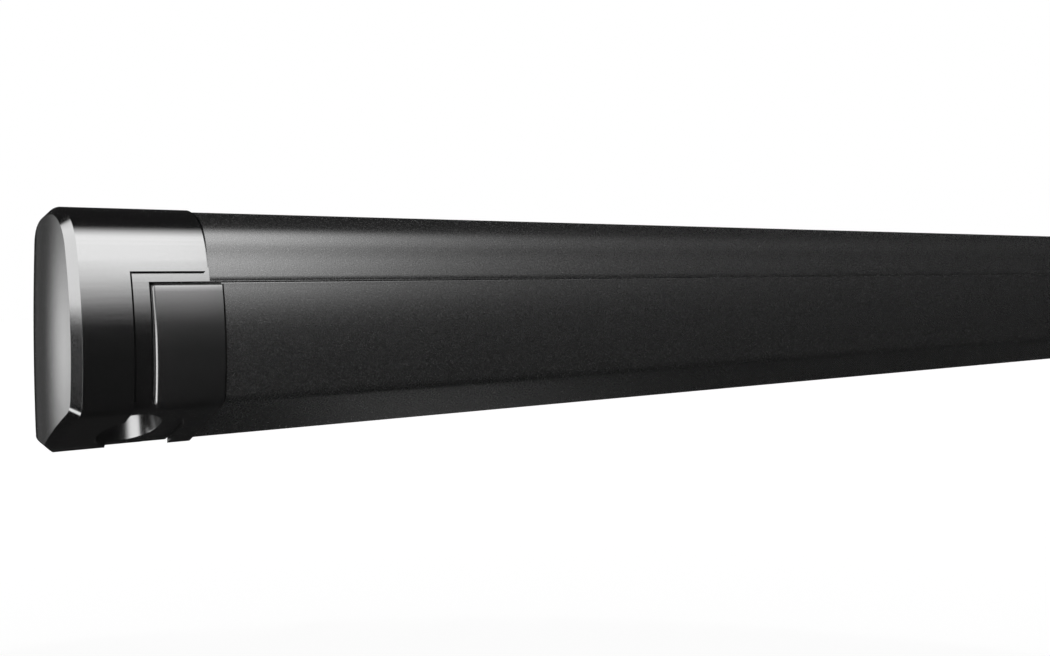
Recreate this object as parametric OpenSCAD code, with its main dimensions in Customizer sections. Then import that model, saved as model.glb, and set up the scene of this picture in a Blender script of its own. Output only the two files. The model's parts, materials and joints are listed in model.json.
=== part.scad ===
// Roll out cassette awning with folding arms, closed, as it hangs on a vehicle wall.
// X runs along the cassette, Y points into the wall, Z is up.
// The origin lies on the wall, midway between the four outer wall bolts.
// Sections are drawn in cassette coordinates: Y from the foremost point back, Z from the underside up.

/* [Cassette] */
// Length over both housing caps
awning_length = 2600; // [2200:10:3200]
// Height of the housing caps
cap_height = 137; // [132:1:142]
// Depth of the housing, from its foremost point to its back
cap_depth = 104; // [103:0.5:110]
// Radius of the bowed front
front_r = 199; // [180:1:220]
// Height of the foremost point of the front
front_z = 58; // [52:1:62]
// Radius between the front and the top
corner_r = 28.5; // [26:0.5:31]
// Radius of the top
top_r = 129; // [122:1:140]
// Slope of the chamfer under the front
chamfer_angle = 27.5; // [25:0.5:30]
// Where the chamfer would meet the underside
chamfer_y = 53; // [51:0.5:55]
// Length over which the crease above the chamfer is rounded
crease_round = 5; // [3:0.5:7]
// How far the extrusions lie inside the housing caps
shell_inset = 3.2; // [2.5:0.1:3.6]
// Wall of the housing extrusion
shell_wall = 2.4; // [1.8:0.1:2.8]
// Height of the seam between housing and lead rail
seam_z = 95.9; // [93:0.1:98]
// Open gap at that seam
seam_gap = 0.7; // [0.5:0.1:1.2]

/* [Housing caps] */
// Width of a housing cap where it covers the whole section
cap_w = 34; // [32:0.5:36]
// Width of its upper flag
flag_w = 78; // [72:1:79]
// Height of the lower edge of the flag
flag_z = 102; // [99:0.5:106]
// Bevel around the end face
cap_bevel = 4.2; // [3:0.1:5.5]
// Radius of the domed end face from front to back
dome_r = 230; // [200:5:300]
// Radius of the domed end face from bottom to top
dome_upright_r = 1800; // [1500:100:2500]
// Wall of the end frame
frame_wall = 3; // [2.5:0.1:4]
// Width of the end frame's rim below the seam
frame_rim_w = 11; // [9:0.5:11]
// Width of the end frame's rim above the seam
frame_top_w = 46; // [45:0.5:50]

/* [Crank] */
// Distance of the crank axis from the end
crank_x = 42; // [40:0.5:44]
// Distance of the crank axis from the front
crank_y = 34; // [32:0.5:36]
// Radius of the crank opening
crank_hole_r = 18.5; // [17:0.5:20]
// Radius of the collar around the opening
crank_collar_r = 27; // [26:0.5:28]
// Radius of the input shaft
crank_shaft_r = 5; // [4:0.1:6]
// Radius of the eye, to the middle of its wire
crank_eye_r = 8; // [7:0.5:9]
// Radius of the wire of the eye
crank_wire_r = 2.6; // [2:0.1:3]

/* [Roller] */
// Distance of the roller axis from the front
roller_y = 63; // [62:0.5:65]
// Height of the roller axis
roller_z = 95; // [94:0.5:96]
// Outer radius of the roller tube
roller_r = 25; // [22:0.5:26]
// Wall of the roller tube
roller_wall = 1.5; // [1:0.1:2.5]
// Radius over the wound canopy
wound_r = 29.7; // [28:0.1:30]
// Radius of the stub axles
axle_r = 8; // [6:0.5:10]

/* [Folding arms] */
// Slope of the arms and the canopy when they run out
arm_slope = 7; // [4:0.5:8]
// Distance of the shoulder pin from the end
shoulder_x = 108; // [104:1:120]
// Distance of the shoulder pin from the front
shoulder_y = 86; // [85:0.5:87]
// Height of the shoulder pin's middle
shoulder_z = 51.5; // [51:0.1:52.5]
// Distance of the elbow pin from the middle of the awning
elbow_gap = 40; // [30:1:80]
// Distance between shoulder pin and wrist pin when closed
pivot_gap = 26; // [25.5:0.1:26.5]
// Width of the upper arm
upper_arm_w = 24; // [20:0.5:24.5]
// Height of the upper arm
upper_arm_h = 26; // [22:0.5:26]
// Width of the forearm
forearm_w = 22; // [18:0.5:22.5]
// Height of the forearm
forearm_h = 24; // [20:0.5:24]
// Wall of the arm profiles
arm_wall = 2; // [1.5:0.1:2.5]
// Radius of the arm pins
arm_pin_r = 4.5; // [3.5:0.1:5]
// Radius of the eyes
eye_r = 10; // [9:0.5:10]
// Thickness of the eyes
eye_t = 12; // [10:0.5:13]

/* [Lead rail] */
// Wall of the lead rail
rail_wall = 2.2; // [1.8:0.1:2.6]
// Distance of the rail's inner wall from the front
rail_back_y = 26; // [24:0.5:27]
// How far the rail caps stand out past the rail
rail_cap_proud = 2.4; // [2:0.1:2.6]
// Width of a rail cap
rail_cap_w = 40.5; // [38:0.5:42]
// Gap between the end frame and the rail cap
rail_cap_gap = 0.6; // [0.4:0.1:1]
// Radius of the rail cap's rounded edges
rail_cap_round = 2.2; // [1.5:0.1:2.4]
// Radius of the canopy's edge cord
keder_r = 2.6; // [2:0.1:3]

/* [Support legs] */
// Width of a leg tube
leg_w = 17; // [15:0.5:17]
// Height of a leg tube
leg_h = 24; // [21:0.5:24]
// Wall of a leg tube
leg_wall = 1.5; // [1.2:0.1:1.8]
// Length of the outer leg tube past its hinge
leg_length = 1230; // [1000:10:1300]
// Distance of the leg hinge from the end
leg_x = 122; // [118:1:140]
// Radius of the leg pins
leg_pin_r = 3; // [2.5:0.1:4]
// Length of the foot
foot_length = 46; // [40:1:55]

/* [Wall brackets] */
// Distance between the wall and the housing
bracket_depth = 8; // [6:0.5:12]
// Width of a wall bracket
bracket_w = 160; // [120:5:220]
// Distance of the outer brackets from the middle
bracket_x = 950; // [700:10:1000]
// Plate thickness of a bracket
bracket_t = 3.5; // [3:0.1:5]
// Height of the bolt pattern's middle
mount_z = 70; // [65:1:75]
// Height between the two bolts of a bracket
bolt_spacing = 60; // [50:1:64]
// Radius of the bolt holes
bolt_hole_r = 4.25; // [3.25:0.25:5.25]

/* [Hidden] */

// Curve quality of round pieces
$fn = 64;
// Steps of each arc in an outline
arc_steps = 8;
// Steps of each straight side of the housing caps, which the domed face needs
side_steps = 5;
// Rings of the domed end face
dome_rings = 5;
// Angle left out where two arcs join
join_angle = 1;
// Overrun of every cut
over = 1;

// Colours
anthracite = [0.24, 0.25, 0.27];
gloss_black = [0.07, 0.07, 0.08];
satin_black = [0.14, 0.14, 0.15];
cast_grey = [0.55, 0.56, 0.58];
arm_silver = [0.75, 0.76, 0.78];
steel = [0.66, 0.67, 0.69];
canvas = [0.62, 0.63, 0.65];
rubber = [0.1, 0.1, 0.1];

// Clearances
running_gap = 0.05;
slide_gap = 0.2;
part_gap = 0.3;
loose_gap = 0.5;

half_length = awning_length / 2;
wall_y = cap_depth + bracket_depth;

// Section of the cassette
corner_angle = asin((cap_height - corner_r - front_z) / (front_r - corner_r));
corner_y = front_r - (front_r - corner_r) * cos(corner_angle);
corner_z = cap_height - corner_r;
top_z = cap_height - top_r;
cap_bottom = 1.2;
shell_bottom = 1.8;
shell_back_bottom = 8;
shell_end_x = half_length - cap_w - frame_top_w;
inner_back_y = cap_depth - shell_wall;

function arc(y, z, r, from, to, steps = arc_steps) =
    [for (k = [0 : steps]) let (a = from + (to - from) * k / steps) [y + r * cos(a), z + r * sin(a)]];
function line(a, b, steps, skip = 0) = [for (k = [1 : steps - skip]) a + (b - a) * k / steps];
function reversed(list) = [for (k = [len(list) - 1 : -1 : 0]) list[k]];
function front_angle(z, inset) = 180 - asin((z - front_z) / (front_r - inset));
function front_point(z, inset) = [front_r + (front_r - inset) * cos(front_angle(z, inset)), z];
function top_height(y, inset) = top_z + sqrt(pow(top_r - inset, 2) - pow(y - corner_y, 2));
function chamfer_at(z, inset) = chamfer_y + (inset - z * cos(chamfer_angle)) / sin(chamfer_angle);
function top_arc(inset, back_y) =
    arc(corner_y, top_z, top_r - inset, 90 - join_angle, acos((back_y - corner_y) / (top_r - inset)));
function crease(inset) =
    let (normal = [sin(chamfer_angle), cos(chamfer_angle)],
         along = [-cos(chamfer_angle), sin(chamfer_angle)],
         centre = [front_r, front_z],
         reach = (centre - [chamfer_y, 0]) * normal - inset,
         half_chord = sqrt(pow(front_r - inset, 2) - pow(reach, 2)))
    centre - reach * normal + half_chord * along;
function crease_curve(inset) =
    let (tip = crease(inset),
         low = tip + crease_round * [cos(chamfer_angle), -sin(chamfer_angle)],
         high = front_point(tip[1] + crease_round, inset))
    [for (t = [0 : 1 / (arc_steps / 2) : 1]) pow(1 - t, 2) * low + 2 * t * (1 - t) * tip + t * t * high];

// Front of the section from the chamfer's foot up to a height
function low_front(inset, bottom, top) =
    concat([[chamfer_at(bottom, inset), bottom]], crease_curve(inset),
           arc(front_r, front_z, front_r - inset,
               front_angle(crease(inset)[1] + crease_round + over, inset), front_angle(top, inset)));
// Front and top of the section from a height on the front to the back
function top_path(inset, front, back_y) =
    concat(arc(front_r, front_z, front_r - inset, front_angle(front, inset), 180 - corner_angle,
               arc_steps / 2),
           arc(corner_y, corner_z, corner_r - inset, 180 - corner_angle - join_angle, 90),
           top_arc(inset, back_y));
// The same, with the back down to a height
function upper_path(inset, front, back_y, back_z) =
    concat(top_path(inset, front, back_y), [[back_y, back_z]]);
// Whole closed section
function outline(inset, back_y, bottom) =
    let (foot = [chamfer_at(bottom, inset), bottom], back_top = [back_y, top_height(back_y, inset)],
         back_foot = [back_y, bottom], curve = crease_curve(inset))
    concat(line(back_top, back_foot, side_steps), line(back_foot, foot, side_steps),
           line(foot, curve[0], side_steps, 1), curve,
           arc(front_r, front_z, front_r - inset,
               front_angle(crease(inset)[1] + crease_round + over, inset), 180 - corner_angle),
           arc(corner_y, corner_z, corner_r - inset, 180 - corner_angle - join_angle, 90),
           top_arc(inset, back_y));
function band(outer, inner) = concat(outer, reversed(inner));

// From cassette coordinates to the wall
module place() translate([0, -wall_y, -mount_z]) children();
// A section, drawn as Y and Z, run along X
module section(from, to) translate([from, 0, 0]) rotate([90, 0, 90]) linear_extrude(to - from) children();
module box(from, to) translate(from) cube(to - from);
module rounded_box_2d(w, h, r) {
    square([w - 2 * r, h], center = true);
    square([w, h - 2 * r], center = true);
    for (x = [-1, 1], y = [-1, 1]) translate([x * (w / 2 - r), y * (h / 2 - r)]) circle(r);
}
module right() mirror([1, 0, 0]) children();

// Housing
hook_inset_share = 1.6;
hook_root_share = 0.6;
lip_wall_share = 0.7;
hook_y = cap_depth - shell_wall * hook_inset_share;
hook_h = 7;
lip_in = 6;
back_foot_share = 1.5;

module bar(half, low, high) box([-half, low[0], low[1]], [half, high[0], high[1]]);
module housing_shell() color(anthracite) place() {
    low_z = seam_z + seam_gap / 2;
    section(-shell_end_x, shell_end_x)
        polygon(band(upper_path(shell_inset, low_z, cap_depth, shell_back_bottom),
                     upper_path(shell_inset + shell_wall, low_z, inner_back_y, shell_back_bottom)));
    // drip lip behind the seam
    lip = front_point(low_z, shell_inset)[0] + shell_wall / 2;
    bar(shell_end_x, [lip, low_z], [lip + lip_in, low_z + shell_wall * lip_wall_share]);
    // upstand that hangs in the wall brackets
    hook_foot = top_height(hook_y + shell_wall, shell_inset);
    bar(shell_end_x, [hook_y, hook_foot - shell_wall * hook_root_share],
        [hook_y + shell_wall, hook_foot + hook_h]);
    // foot of the back wall
    bar(shell_end_x, [cap_depth - shell_wall * back_foot_share, shell_back_bottom],
        [cap_depth - shell_wall / 2, shell_back_bottom + shell_wall]);
}

// Housing cap: a lofted body with a bevelled, domed end face
dome_y_share = 0.32;
dome_z_share = 0.28;
dome_apex = [cap_depth * dome_y_share, cap_height * dome_z_share];
function sag(p) = dome_r - sqrt(pow(dome_r, 2) - pow(p[0] - dome_apex[0], 2))
    + dome_upright_r - sqrt(pow(dome_upright_r, 2) - pow(p[1] - dome_apex[1], 2));
function ring(points, x) = [for (p = points) [x + sag(p), p[0], p[1]]];
module cap_body() {
    rim = outline(0, cap_depth, cap_bottom);
    face = outline(cap_bevel, cap_depth - cap_bevel, cap_bottom + cap_bevel);
    n = len(rim);
    inner = [for (k = [0 : dome_rings - 1])
             [for (p = face) dome_apex + (p - dome_apex) * (1 - k / dome_rings)]];
    points = concat([for (p = rim) [cap_w, p[0], p[1]]], ring(rim, cap_bevel),
                    [for (k = [0 : dome_rings - 1]) each ring(inner[k], 0)],
                    [[0, dome_apex[0], dome_apex[1]], [cap_w, dome_apex[0], dome_apex[1]]]);
    rings = dome_rings + 2;
    sides = [for (k = [0 : rings - 2], j = [0 : n - 1]) let (m = (j + 1) % n, a = k * n, b = a + n)
             each [[a + j, b + j, a + m], [a + m, b + j, b + m]]];
    last = (rings - 1) * n;
    tip = [for (j = [0 : n - 1]) [last + j, last + n, last + (j + 1) % n]];
    base = [for (j = [0 : n - 1]) [j, (j + 1) % n, last + n + 1]];
    polyhedron(points, concat(base, sides, tip));
}
shadow_gap = 0.25;
module cap_flag() section(cap_w - over, flag_w)
    polygon(band(top_path(0, flag_z, cap_depth), top_path(shell_inset - shadow_gap, flag_z, cap_depth)));
// Well for the crank opening and the gearbox barrel above it
barrel_r = 12;
funnel_top = 48;
barrel_top = 116;
module crank_well() translate([crank_x, crank_y, 0]) {
    translate([0, 0, -over]) cylinder(h = funnel_top + over, r = crank_hole_r);
    cylinder(h = barrel_top + part_gap, r = barrel_r + part_gap);
}
module housing_cap_left() color(gloss_black) place() translate([-half_length, 0, 0]) difference() {
    union() {
        cap_body();
        cap_flag();
    }
    crank_well();
}
module housing_cap_right() color(gloss_black) place() right() translate([-half_length, 0, 0]) {
    cap_body();
    cap_flag();
}

// End frame behind the housing cap
module end_frame() {
    rim_start = cap_w;
    low_z = seam_z + seam_gap / 2;
    section(rim_start, rim_start + frame_wall) polygon(outline(shell_inset, cap_depth, shell_bottom));
    section(rim_start, rim_start + frame_rim_w) difference() {
        polygon(outline(shell_inset, cap_depth, shell_bottom));
        polygon(outline(shell_inset + shell_wall, inner_back_y, shell_bottom + shell_wall));
    }
    section(rim_start, rim_start + frame_top_w)
        polygon(band(upper_path(shell_inset, low_z, cap_depth, shell_back_bottom),
                     upper_path(shell_inset + shell_wall, low_z, inner_back_y, shell_back_bottom)));
}
module crank_collar() intersection() {
    section(cap_w, crank_x + crank_collar_r) polygon(outline(shell_inset, cap_depth, shell_bottom));
    translate([crank_x, crank_y, 0]) cylinder(h = funnel_top, r = crank_collar_r);
}
module end_frame_left() color(satin_black) place() translate([-half_length, 0, 0]) difference() {
    union() {
        end_frame();
        crank_collar();
    }
    crank_well();
}
module end_frame_right() color(satin_black) place() right() translate([-half_length, 0, 0]) end_frame();

// Flared ring that guides the crank rod to the eye
funnel_wall = 1.2;
funnel_throat_r = 11.4;
funnel_flare_z = 24;
module crank_funnel() color(gloss_black) place() translate([-half_length, 0, 0]) intersection() {
    section(crank_x - crank_hole_r, crank_x + crank_hole_r)
        polygon(outline(shell_inset, cap_depth, shell_bottom));
    translate([crank_x, crank_y, 0]) rotate_extrude()
        polygon([[crank_hole_r - slide_gap / 2, 0], [crank_hole_r - slide_gap / 2, funnel_top],
                 [funnel_throat_r, funnel_top], [funnel_throat_r, funnel_top - funnel_wall],
                 [crank_hole_r - funnel_wall * 3, funnel_flare_z], [crank_hole_r - funnel_wall, 0]]);
}

// Gearbox at the left end, a plain bearing at the right end
gearbox_w = 33;
gearbox_r = 26.5;
gearbox_bottom = 64;
block_r = 18;
block_foot_share = 1.4;
barrel_crown_share = 1.5;
axle_length = 17;
roller_end_gap = 4;
roller_start = cap_w + frame_wall + gearbox_w + roller_end_gap;
module along_x(x, y, z) translate([x, y, z]) rotate([0, 90, 0]) children();
module axle_bore() along_x(roller_start - roller_end_gap - axle_length, roller_y, roller_z)
    cylinder(h = axle_length + over, r = axle_r + running_gap);
module gearbox_housing() color(cast_grey) place() translate([-half_length, 0, 0]) difference() {
    union() {
        along_x(cap_w + frame_wall, roller_y, roller_z) cylinder(h = gearbox_w, r = gearbox_r);
        translate([crank_x, crank_y, gearbox_bottom])
            cylinder(h = barrel_top - gearbox_bottom, r = barrel_r);
        box([cap_w + frame_wall, crank_y, roller_z - barrel_r],
            [cap_w + frame_wall + barrel_r, roller_y, roller_z + barrel_r]);
    }
    axle_bore();
    translate([crank_x, crank_y, gearbox_bottom - over])
        cylinder(h = barrel_top - gearbox_bottom - barrel_r, r = crank_shaft_r + running_gap);
}
module bearing_block() color(cast_grey) place() right() translate([-half_length, 0, 0]) difference() {
    union() {
        along_x(cap_w + frame_wall, roller_y, roller_z) cylinder(h = gearbox_w, r = block_r);
        box([cap_w + frame_wall, roller_y - block_r / 2, roller_z - block_r * block_foot_share],
            [cap_w + frame_wall + gearbox_w / 3, roller_y + block_r / 2, roller_z]);
    }
    axle_bore();
}
eye_height = 36;
module crank_shaft() color(steel) place() translate([crank_x - half_length, crank_y, 0]) {
    translate([0, 0, eye_height + crank_eye_r])
        cylinder(h = barrel_top - barrel_r * barrel_crown_share - eye_height - crank_eye_r,
                 r = crank_shaft_r);
    translate([0, 0, eye_height]) rotate([90, 0, 0]) rotate_extrude() translate([crank_eye_r, 0])
        circle(crank_wire_r);
}

// Wall brackets
hook_reach = 5;
hook_drop = 2;
bracket_top = top_height(hook_y + shell_wall, shell_inset) + hook_h;
bracket_low = mount_z - bolt_spacing / 2 - bracket_t * 4;
module wall_bracket_bar(x, low, high)
    box([x - bracket_w / 2, low[0], low[1]], [x + bracket_w / 2, high[0], high[1]]);
module wall_brackets() color(cast_grey) place() for (x = [-bracket_x, 0, bracket_x]) difference() {
    union() {
        wall_bracket_bar(x, [wall_y - bracket_t, bracket_low], [wall_y, bracket_top + bracket_t]);
        wall_bracket_bar(x, [cap_depth, bracket_low], [wall_y - bracket_t / 2, bracket_low + bracket_t]);
        wall_bracket_bar(x, [hook_y - hook_reach, bracket_top],
                         [wall_y - bracket_t / 2, bracket_top + bracket_t]);
        wall_bracket_bar(x, [hook_y - hook_reach, bracket_top - hook_drop],
                         [hook_y - part_gap, bracket_top + bracket_t / 2]);
    }
    for (z = [-1, 1]) translate([x, wall_y - bracket_t - over, mount_z + z * bolt_spacing / 2])
        rotate([-90, 0, 0]) cylinder(h = bracket_t + 2 * over, r = bolt_hole_r);
}

// Roller with the wound canopy
canopy_margin = 14;
canopy_half = half_length - roller_start - canopy_margin;
plug_depth = 30;
plug_flange = 1.5;
module roller_axis() translate([0, roller_y, roller_z]) rotate([0, 90, 0]) children();
module tube(length, outer, inner) difference() {
    cylinder(h = length, r = outer, center = true);
    cylinder(h = length + 2 * over, r = inner, center = true);
}
module roller_tube() color(arm_silver) place() roller_axis()
    tube(2 * (half_length - roller_start - plug_flange), roller_r, roller_r - roller_wall);
module roller_plug() {
    along_x(roller_start, roller_y, roller_z) cylinder(h = plug_flange, r = roller_r);
    along_x(roller_start, roller_y, roller_z)
        cylinder(h = plug_depth, r = roller_r - roller_wall - running_gap);
    along_x(roller_start - roller_end_gap - axle_length + roller_end_gap / 2, roller_y, roller_z)
        cylinder(h = axle_length + roller_end_gap, r = axle_r);
}
module roller_plugs() color(satin_black) place() {
    translate([-half_length, 0, 0]) roller_plug();
    right() translate([-half_length, 0, 0]) roller_plug();
}
module wound_canopy() color(canvas) place() roller_axis()
    tube(2 * canopy_half, wound_r, roller_r + running_gap);

// Folding arms, drawn in their own plane: the shoulder pin is at shoulder_x, height 0 is their middle
left_shoulder = -half_length + shoulder_x;
elbow_x = -elbow_gap;
root_length = 26;
flange_t = 3;
ear_h = upper_arm_h / 2;
tenon_length = 24;
head_r = 6.2;
head_h = 1.5;
profile_round = 3;
bar_share = 0.8;
neck_out_share = 0.2;
neck_in_share = 0.9;
elbow_eye_share = 0.7;
module arm_plane() translate([0, shoulder_y, shoulder_z]) rotate([arm_slope, 0, 0]) children();
module arm_profile(from, to, y, w, h) translate([from, y, 0]) rotate([90, 0, 90]) linear_extrude(to - from)
    difference() {
        rounded_box_2d(w, h, profile_round);
        rounded_box_2d(w - 2 * arm_wall, h - 2 * arm_wall, profile_round - arm_wall / 2);
    }
module pin_bore(x, y, clearance) translate([x, y, 0])
    cylinder(h = 2 * upper_arm_h, r = arm_pin_r + clearance, center = true);
module disc(x, y, from, to, r) translate([x, y, from]) cylinder(h = to - from, r = r);
module arm_pin(x, y) {
    disc(x, y, -ear_h - head_h, ear_h + head_h, arm_pin_r);
    for (z = [-ear_h - head_h, ear_h]) disc(x, y, z, z + head_h, head_r);
}
// Flange and tenon that close one end of an arm profile; dir points into the profile
module arm_plug(x, dir, y, w, h) {
    a = x - dir * flange_t;
    box([min(a, x), y - w / 2, -h / 2], [max(a, x), y + w / 2, h / 2]);
    b = x + dir * tenon_length;
    gap = 2 * arm_wall + 2 * slide_gap;
    translate([min(a, b), y, 0]) rotate([90, 0, 90]) linear_extrude(abs(b - a))
        rounded_box_2d(w - gap, h - gap, profile_round - arm_wall / 2);
}
// Eye on a pin in line with the profile
module straight_eye(x, y, w, h, clearance) difference() {
    union() {
        disc(x, y, -eye_t / 2, eye_t / 2, eye_r);
        box([x, y - eye_r * bar_share, -eye_t / 2],
            [x + root_length - flange_t, y + eye_r * bar_share, eye_t / 2]);
        arm_plug(x + root_length, 1, y, w, h);
    }
    pin_bore(x, y, clearance);
}
module neck(points, from, to) translate([0, 0, from]) linear_extrude(to - from) polygon(points);

elbow_y = -pivot_gap / 2;
fork_inner = eye_t / 2 + part_gap;
module upper_arm()
    arm_profile(left_shoulder + root_length, elbow_x - root_length, 0, upper_arm_w, upper_arm_h);
module shoulder_eye() straight_eye(left_shoulder, 0, upper_arm_w, upper_arm_h, running_gap);
module elbow_fork() {
    start = elbow_x - root_length;
    outline_points = [[start, -upper_arm_w / 2], [start, upper_arm_w / 2],
                      [elbow_x - eye_r / 2, upper_arm_w / 2],
                      [elbow_x + eye_r, elbow_y + eye_r * neck_out_share],
                      [elbow_x, elbow_y - eye_r * neck_in_share], [start + flange_t, -upper_arm_w / 2]];
    difference() {
        union() {
            arm_plug(start, -1, 0, upper_arm_w, upper_arm_h);
            for (side = [-1, 1]) {
                low = side > 0 ? fork_inner : -ear_h;
                disc(elbow_x, elbow_y, low, low + ear_h - fork_inner, eye_r + part_gap);
                neck(outline_points, low, low + ear_h - fork_inner);
            }
        }
        pin_bore(elbow_x, elbow_y, 0);
    }
}
module forearm()
    arm_profile(left_shoulder + root_length, elbow_x - root_length, -pivot_gap, forearm_w, forearm_h);
module elbow_eye() {
    start = elbow_x - root_length;
    low = -pivot_gap - forearm_w / 2;
    high = -pivot_gap + forearm_w / 2;
    reach = eye_r * elbow_eye_share;
    difference() {
        union() {
            arm_plug(start, -1, -pivot_gap, forearm_w, forearm_h);
            disc(elbow_x, elbow_y, -eye_t / 2, eye_t / 2, eye_r);
            neck([[start, low], [start, high], [start + eye_r, high], [elbow_x - reach, elbow_y + reach],
                  [elbow_x + reach, elbow_y - reach], [elbow_x - eye_r / 2, low]], -eye_t / 2, eye_t / 2);
        }
        pin_bore(elbow_x, elbow_y, running_gap);
    }
}
module wrist_eye(clearance) straight_eye(left_shoulder, -pivot_gap, forearm_w, forearm_h, clearance);

module upper_arm_left() color(arm_silver) place() arm_plane() upper_arm();
module upper_arm_right() color(arm_silver) place() right() arm_plane() upper_arm();
module shoulder_eye_left() color(satin_black) place() arm_plane() shoulder_eye();
module shoulder_eye_right() color(satin_black) place() right() arm_plane() shoulder_eye();
module elbow_fork_left() color(satin_black) place() arm_plane() elbow_fork();
module elbow_fork_right() color(satin_black) place() right() arm_plane() elbow_fork();
module elbow_pin_left() color(steel) place() arm_plane() arm_pin(elbow_x, elbow_y);
module elbow_pin_right() color(steel) place() right() arm_plane() arm_pin(elbow_x, elbow_y);
module forearm_left() color(arm_silver) place() arm_plane() forearm();
module forearm_right() color(arm_silver) place() right() arm_plane() forearm();
module elbow_eye_left() color(satin_black) place() arm_plane() elbow_eye();
module elbow_eye_right() color(satin_black) place() right() arm_plane() elbow_eye();
module wrist_eye_left() color(satin_black) place() arm_plane() wrist_eye(running_gap);
module wrist_eye_right() color(satin_black) place() right() arm_plane() wrist_eye(loose_gap);

// Shoulder brackets on the back wall and wrist brackets on the lead rail
plate_t = 4;
plate_reach = 20;
plate_inner_share = 0.8;
plate_low_share = 1.3;
plate_high_share = 1.5;
wrist_plate_share = 1.2;
module bracket_ears(y, to_y) difference() {
    for (side = [-1, 1]) {
        low = side > 0 ? fork_inner : -ear_h;
        disc(left_shoulder, y, low, low + ear_h - fork_inner, eye_r + part_gap);
        box([left_shoulder - eye_r, min(y, to_y), low],
            [left_shoulder + eye_r, max(y, to_y), low + ear_h - fork_inner]);
    }
    pin_bore(left_shoulder, y, 0);
}
module bracket_plate(from_y, to_y, low, high)
    box([left_shoulder - plate_reach, from_y, low],
        [left_shoulder + plate_reach * plate_inner_share, to_y, high]);
module shoulder_bracket() {
    bracket_plate(inner_back_y - plate_t, inner_back_y, shoulder_z - ear_h * plate_low_share,
                  shoulder_z + ear_h * plate_high_share);
    intersection() {
        arm_plane() bracket_ears(0, inner_back_y - shoulder_y + plate_t);
        box([-half_length, 0, 0], [half_length, inner_back_y - plate_t / 2, cap_height]);
    }
}
wrist_height = shoulder_z - pivot_gap * sin(arm_slope);
module wrist_bracket() {
    reach = ear_h * wrist_plate_share;
    bracket_plate(rail_back_y, rail_back_y + plate_t, wrist_height - reach, wrist_height + reach);
    intersection() {
        arm_plane() bracket_ears(-pivot_gap, rail_back_y - shoulder_y - plate_t);
        box([-half_length, rail_back_y + plate_t / 2, 0], [half_length, cap_depth, cap_height]);
    }
}
module shoulder_bracket_left() color(cast_grey) place() shoulder_bracket();
module shoulder_bracket_right() color(cast_grey) place() right() shoulder_bracket();
module wrist_bracket_left() color(cast_grey) place() wrist_bracket();
module wrist_bracket_right() color(cast_grey) place() right() wrist_bracket();
module shoulder_pins() color(steel) place() {
    arm_plane() arm_pin(left_shoulder, 0);
    right() arm_plane() arm_pin(left_shoulder, 0);
}
module wrist_pins() color(steel) place() {
    arm_plane() arm_pin(left_shoulder, -pivot_gap);
    right() arm_plane() arm_pin(left_shoulder, -pivot_gap);
}

// Lead rail with the canopy groove on top and two leg lanes below
rail_top = seam_z - seam_gap / 2;
lane_gap = 1.2;
leg_bottom = shell_bottom + lane_gap;
shelf_z = leg_bottom + leg_h + lane_gap;
rail_foot_y = chamfer_at(shell_bottom, shell_inset);
lane_pitch = leg_w + 2 * lane_gap + rail_wall;
rail_web_z = 84;
keder_y = 16.5;
keder_gap = 0.3;
keder_wall_share = 0.7;
keder_slot_share = 0.35;
keder_tube_r = keder_r + keder_gap + rail_wall * keder_wall_share;
keder_z = rail_web_z + rail_wall + keder_tube_r - rail_wall / 2;
rail_end_x = half_length - cap_w - frame_rim_w - rail_cap_gap - rail_cap_w;
function lane_y(lane) = rail_foot_y + lane_gap + leg_w / 2 + lane * lane_pitch;
function chamfer_height(y, inset) = (inset - (y - chamfer_y) * sin(chamfer_angle)) / cos(chamfer_angle);
leg_axis_z = leg_bottom + leg_h / 2;

module lead_rail_bars() {
    skin = shell_inset + rail_wall;
    lane_wall_y = rail_foot_y - rail_wall;
    section(-rail_end_x, rail_end_x)
        polygon(band(low_front(shell_inset, shell_bottom, rail_top),
                     concat([[lane_wall_y, chamfer_height(lane_wall_y, skin)]], crease_curve(skin),
                            arc(front_r, front_z, front_r - skin,
                                front_angle(crease(skin)[1] + crease_round + over, skin),
                                front_angle(rail_top, skin)))));
    // front wall of the leg lanes
    section(-rail_end_x, rail_end_x)
        polygon([[rail_foot_y, shell_bottom], [rail_foot_y, shelf_z + rail_wall],
                 [lane_wall_y, shelf_z + rail_wall],
                 [lane_wall_y, chamfer_height(lane_wall_y, shell_inset)]]);
    // inner wall, from the chamfer up to the web
    inner_y = rail_back_y - rail_wall;
    section(-rail_end_x, rail_end_x)
        polygon([[inner_y, chamfer_height(inner_y, shell_inset + rail_wall / 2)],
                 [inner_y, rail_web_z + rail_wall], [rail_back_y, rail_web_z + rail_wall],
                 [rail_back_y, chamfer_height(rail_back_y, shell_inset + rail_wall / 2)]]);
    web_y = front_point(rail_web_z, shell_inset + rail_wall / 2)[0];
    bar(rail_end_x, [web_y, rail_web_z], [rail_back_y - rail_wall / 2, rail_web_z + rail_wall]);
    // shelf above the legs, with a rib and a rear wall
    bar(rail_end_x, [inner_y + rail_wall / 2, shelf_z],
        [rail_foot_y + 2 * lane_pitch - rail_wall / 2, shelf_z + rail_wall]);
    for (lane = [1, 2]) {
        y = rail_foot_y + lane * lane_pitch;
        bar(rail_end_x, [y - rail_wall, shell_bottom], [y, shelf_z + rail_wall]);
    }
    along_x(-rail_end_x, keder_y, keder_z) cylinder(h = 2 * rail_end_x, r = keder_tube_r);
}
module leg_pin_hole(x) for (lane = [0, 1]) translate([lane == 0 ? -x : x, lane_y(lane), leg_axis_z])
    rotate([90, 0, 0]) cylinder(h = lane_pitch + rail_wall, r = leg_pin_r, center = true);
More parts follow.
